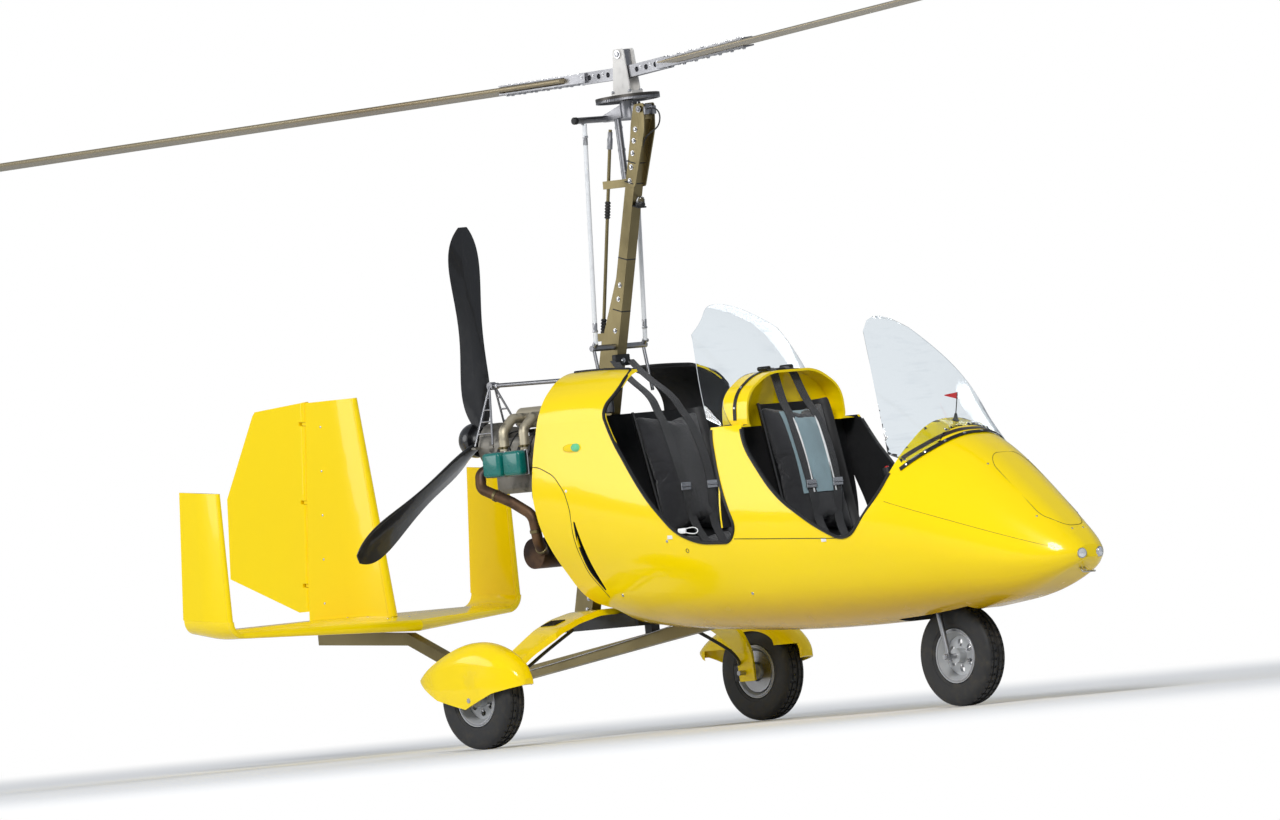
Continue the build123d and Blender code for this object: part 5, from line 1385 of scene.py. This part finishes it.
gear_bolts = [bolt(place, (-1, 0, 0), 0.0055, 0.0055) for place in ring_places(-0.9848, 1.200, 0.0705, 6, 20)]
finished(gear_bolts, "gearbox_bolts", "screw_steel")
stay_nuts = [bar((x, 0, z), (x - 0.012, 0, z + 0.0002), 0.0125, 6, 0.0008)
             for x, z in ((-0.330, 1.441), (-0.915, 1.451))]
finished(stay_nuts, "stay_nuts", "screw_steel")

# Bolts of the propeller's hub
prop_bolts = [bolt(*surface_point("propeller_blades", place, (-1, 0, 0)), 0.0050, 0.0030)
              for place in ring_places(-0.9, prop_line_z, 0.034, 6, 15)]
finished(prop_bolts, "propeller_bolts", "screw_steel", "propeller")

# Header tank behind the rear seat
tank = turned([(0.0, 0.001), (0.0, 0.026), (0.004, 0.031), (0.100, 0.031), (0.108, 0.027), (0.110, 0.016),
               (0.122, 0.016), (0.124, 0.013), (0.124, 0.001)], (-0.205, -0.085, 1.292), (0, 0, 1), 40)
finished(tank, "header_tank", "machined_aluminium")


# Belly cables, tail linkage and skin fittings
for side, name in right_left:
    cable = ((0.119, 0.034, 0.440), (-0.2, 0.034, 0.385), (-0.898, 0.0306, 0.285), (-1.120, 0.0272, 0.262))
    cord("rudder_cable_" + name, "steel", 0.004, sided(side, cable))
joints = ((-1.160, 0.030, 0.268), (-1.624, 0.030, 0.466), (-2.011, 0.030, 0.492))
link_rods = [bar(start, end, 0.005, 14) for start, end in zip(joints, joints[1:])]
for place in joints:
    link_rods.append(turned([(-0.006, 0.001), (-0.006, 0.010), (0.006, 0.010), (0.006, 0.001)], place, (0, 1, 0), 20))
finished(link_rods, "rudder_linkage", "steel")

fittings = [dome(*beside(x, z, side), 0.0070, 0.0034, 16)
            for x, z in ((0.378, 0.758), (-0.020, 0.560), (0.760, 0.520)) for side in (-1, 1)]
finished(fittings, "skin_bolts", "screw_steel")
plug_rows = ((-0.003, 0.009), (0.0012, 0.009), (0.0016, 0.0075), (-0.0004, 0.006), (-0.0004, 0.001))
plugs = [turned(plug_rows, *beside(0.483, 0.713, side), 20) for side in (-1, 1)]
finished(plugs, "drain_plugs", "trim_black")

# Blank tags and the belt latch on the sills
for side, name in right_left:
    tags = []
    for x, z in ((0.400, 0.786), (1.259, 0.718)):
        reach = abs(beside(x, z - 0.012, side)[0].y)
        tags.append(side_slab((x - 0.014, x + 0.014), (reach - 0.001, reach + 0.0012), (z - 0.021, z - 0.005),
                              side, 0.0008, 1))
    finished(tags, "sill_tags_" + name, "white_paint")
    place, _ = beside(0.470, 0.762, side)
    reach = abs(place.y)
    latch = side_slab((0.452, 0.496), (reach - 0.004, reach + 0.006), (0.782, 0.804), side, 0.004)
    loop = pipe([(0.492, place.y, 0.800), (0.530, place.y, 0.806), (0.562, place.y, 0.798), (0.564, place.y, 0.782),
                 (0.534, place.y, 0.776), (0.492, place.y, 0.786)], 0.0022, 8, 6)
    finished([latch, loop], "sill_latch_" + name, "white_paint")

    # Position lamps: a faired foot drawn out aft, and a coloured lens at its front
    place, normal = beside(-0.114, 1.166, side)
    foot = turned([(-0.008, 0.021), (0.004, 0.020), (0.010, 0.015), (0.012, 0.001)], place, normal, 32)
    with editing(foot, "VERT"):
        bpy.ops.transform.resize(value=(2.2, 1.0, 0.85), center_override=place + Vector((0.016, 0, 0)))
    finished(foot, "position_lamp_foot_" + name, "yellow_skin", smooth=rounded)
    place += Vector((0.010, 0, 0))
    lens = turned([(0.000, 0.017), (0.010, 0.016), (0.017, 0.010), (0.0195, 0.001)], place, normal, 32)
    with editing(lens, "VERT"):
        bpy.ops.transform.resize(value=(1.25, 1.0, 1.0), center_override=place)
    finished(lens, "position_lamp_" + name, "lamp_green" if side < 0 else "lamp_red", smooth=rounded)

# Screws down the fin and along the tailplane's root
tail_screws = []
for z in (0.640, 0.820, 1.000, 1.180, 1.360):
    for side in (-1, 1):
        hit, place, normal = surface_hit("tail_unit", (-2.050 + 0.095 * (z - 0.64), side * 0.5, z), (0, -side, 0))
        if hit and abs(place.y) < 0.06:
            tail_screws.append(dome(place, normal, 0.0052, 0.0024, 12))
for x in (-1.640, -1.760, -1.880):
    for y in (-0.060, 0.060):
        hit, place, normal = surface_hit("tail_unit", (x, y, 0.9), (0, 0, -1))
        if hit:
            tail_screws.append(dome(place, normal, 0.0062, 0.0028, 12))
finished(tail_screws, "tail_screws", "screw_steel")

# Pitot and static tubes under the tip of the nose
chin, _ = surface_point("hull", (2.320, 0.0, 0.2), (0, 0, 1))
tubes = []
for y in (-0.010, 0.010):
    root = chin + Vector((-0.010, y, 0.004))
    tubes.append(bar(root, root + Vector((0.020, 0, -0.022)), 0.0046, 16, 0.0008))
    tubes.append(turned([(0.0, 0.0040), (0.046, 0.0040), (0.048, 0.0026), (0.040, 0.0022)],
                        root + Vector((0.018, 0, -0.022)), (1, 0, -0.04), 20))
finished(tubes, "pitot_tubes", "steel")


def light(name, place, target, size, energy, shine=True):
    bpy.ops.object.light_add(type="AREA", location=place)
    lamp = bpy.context.object
    lamp.name = name
    lamp.rotation_mode = "QUATERNION"
    lamp.rotation_quaternion = (Vector(target) - Vector(place)).to_track_quat("-Z", "Y")
    lamp.data.shape = "DISK"
    lamp.data.size = size
    lamp.data.energy = energy
    lamp.visible_glossy = shine


def make_stage():
    """Pale floor that fades into the white backdrop."""
    floor_radius, fade_start, fade_end = 60.0, 3.2, 9.0
    bpy.ops.mesh.primitive_circle_add(
        vertices=96, radius=floor_radius, fill_type="TRIFAN", location=(0, 0, -0.001))
    floor = bpy.context.object
    floor.name = "floor"
    finish = Finish("floor", shade(232, 232, 232), 0.85)
    light_path = finish.tree.nodes.new("ShaderNodeLightPath")
    seen = finish.node("ShaderNodeMath", {"operation": "MAXIMUM"}, {
        0: Value(finish, light_path.outputs["Is Camera Ray"]),
        1: Value(finish, light_path.outputs["Is Transmission Ray"]),
    })
    across = finish.node("ShaderNodeVectorMath", {"operation": "LENGTH"}, {0: finish.place}, output="Value")
    fade = across.between(fade_start, fade_end)
    white = finish.node("ShaderNodeEmission", None, {"Color": (1, 1, 1, 1), "Strength": 1.0})
    base = Value(finish, finish.shader.outputs[0])
    shown = finish.node("ShaderNodeMixShader", None, {0: seen * fade, 1: base, 2: white})
    output = finish.tree.nodes["Material Output"]
    finish.tree.links.new(shown.socket, output.inputs["Surface"])
    floor.data.materials.append(finish.material)


world_strength = 0.40


def make_world():
    """Even grey light on the object, and white where the camera and glass look past it."""
    world = bpy.data.worlds.new("studio")
    bpy.context.scene.world = world
    world.use_nodes = True
    tree = world.node_tree
    tree.nodes.clear()
    path = tree.nodes.new("ShaderNodeLightPath")
    past = tree.nodes.new("ShaderNodeMath")
    past.operation = "MAXIMUM"
    tree.links.new(path.outputs["Is Camera Ray"], past.inputs[0])
    tree.links.new(path.outputs["Is Transmission Ray"], past.inputs[1])
    mix = tree.nodes.new("ShaderNodeMixShader")
    tree.links.new(past.outputs[0], mix.inputs[0])
    for index, colour, strength in ((1, (0.80, 0.86, 0.95, 1.0), world_strength), (2, (1, 1, 1, 1), 1.0)):
        background = tree.nodes.new("ShaderNodeBackground")
        background.inputs["Color"].default_value = colour
        background.inputs["Strength"].default_value = strength
        tree.links.new(background.outputs[0], mix.inputs[index])
    output = tree.nodes.new("ShaderNodeOutputWorld")
    tree.links.new(mix.outputs[0], output.inputs["Surface"])


def make_camera():
    """Camera at the photograph's angle, turned about its own axis by the aircraft's bank."""
    azimuth, elevation = math.radians(view_azimuth), math.radians(view_elevation)
    back = Vector((
        math.sin(azimuth) * math.cos(elevation),
        -math.cos(azimuth) * math.cos(elevation),
        math.sin(elevation),
    ))
    bpy.ops.object.camera_add(location=view_focus + back * view_distance)
    camera = bpy.context.object
    camera.name = "camera"
    camera.rotation_mode = "QUATERNION"
    aim = (-back).to_track_quat("-Z", "Y")
    camera.rotation_quaternion = aim @ Quaternion((0, 0, 1), -math.radians(view_roll))
    camera.data.lens = view_lens
    camera.data.sensor_width = 36.0
    camera.data.clip_start = 1.0
    camera.data.clip_end = 300.0
    bpy.context.scene.camera = camera


make_stage()
make_world()
make_camera()
light("key", (7.0, -9.0, 8.0), (0.0, 0.0, 1.0), 4.0, 1050.0)
light("fill", (-7.0, -8.0, 4.0), (0.0, 0.0, 1.0), 6.0, 280.0)
light("rim", (-3.0, 9.0, 7.0), (0.0, 0.0, 1.2), 6.0, 420.0, shine=False)

scene = bpy.context.scene
scene.view_settings.view_transform = "Standard"
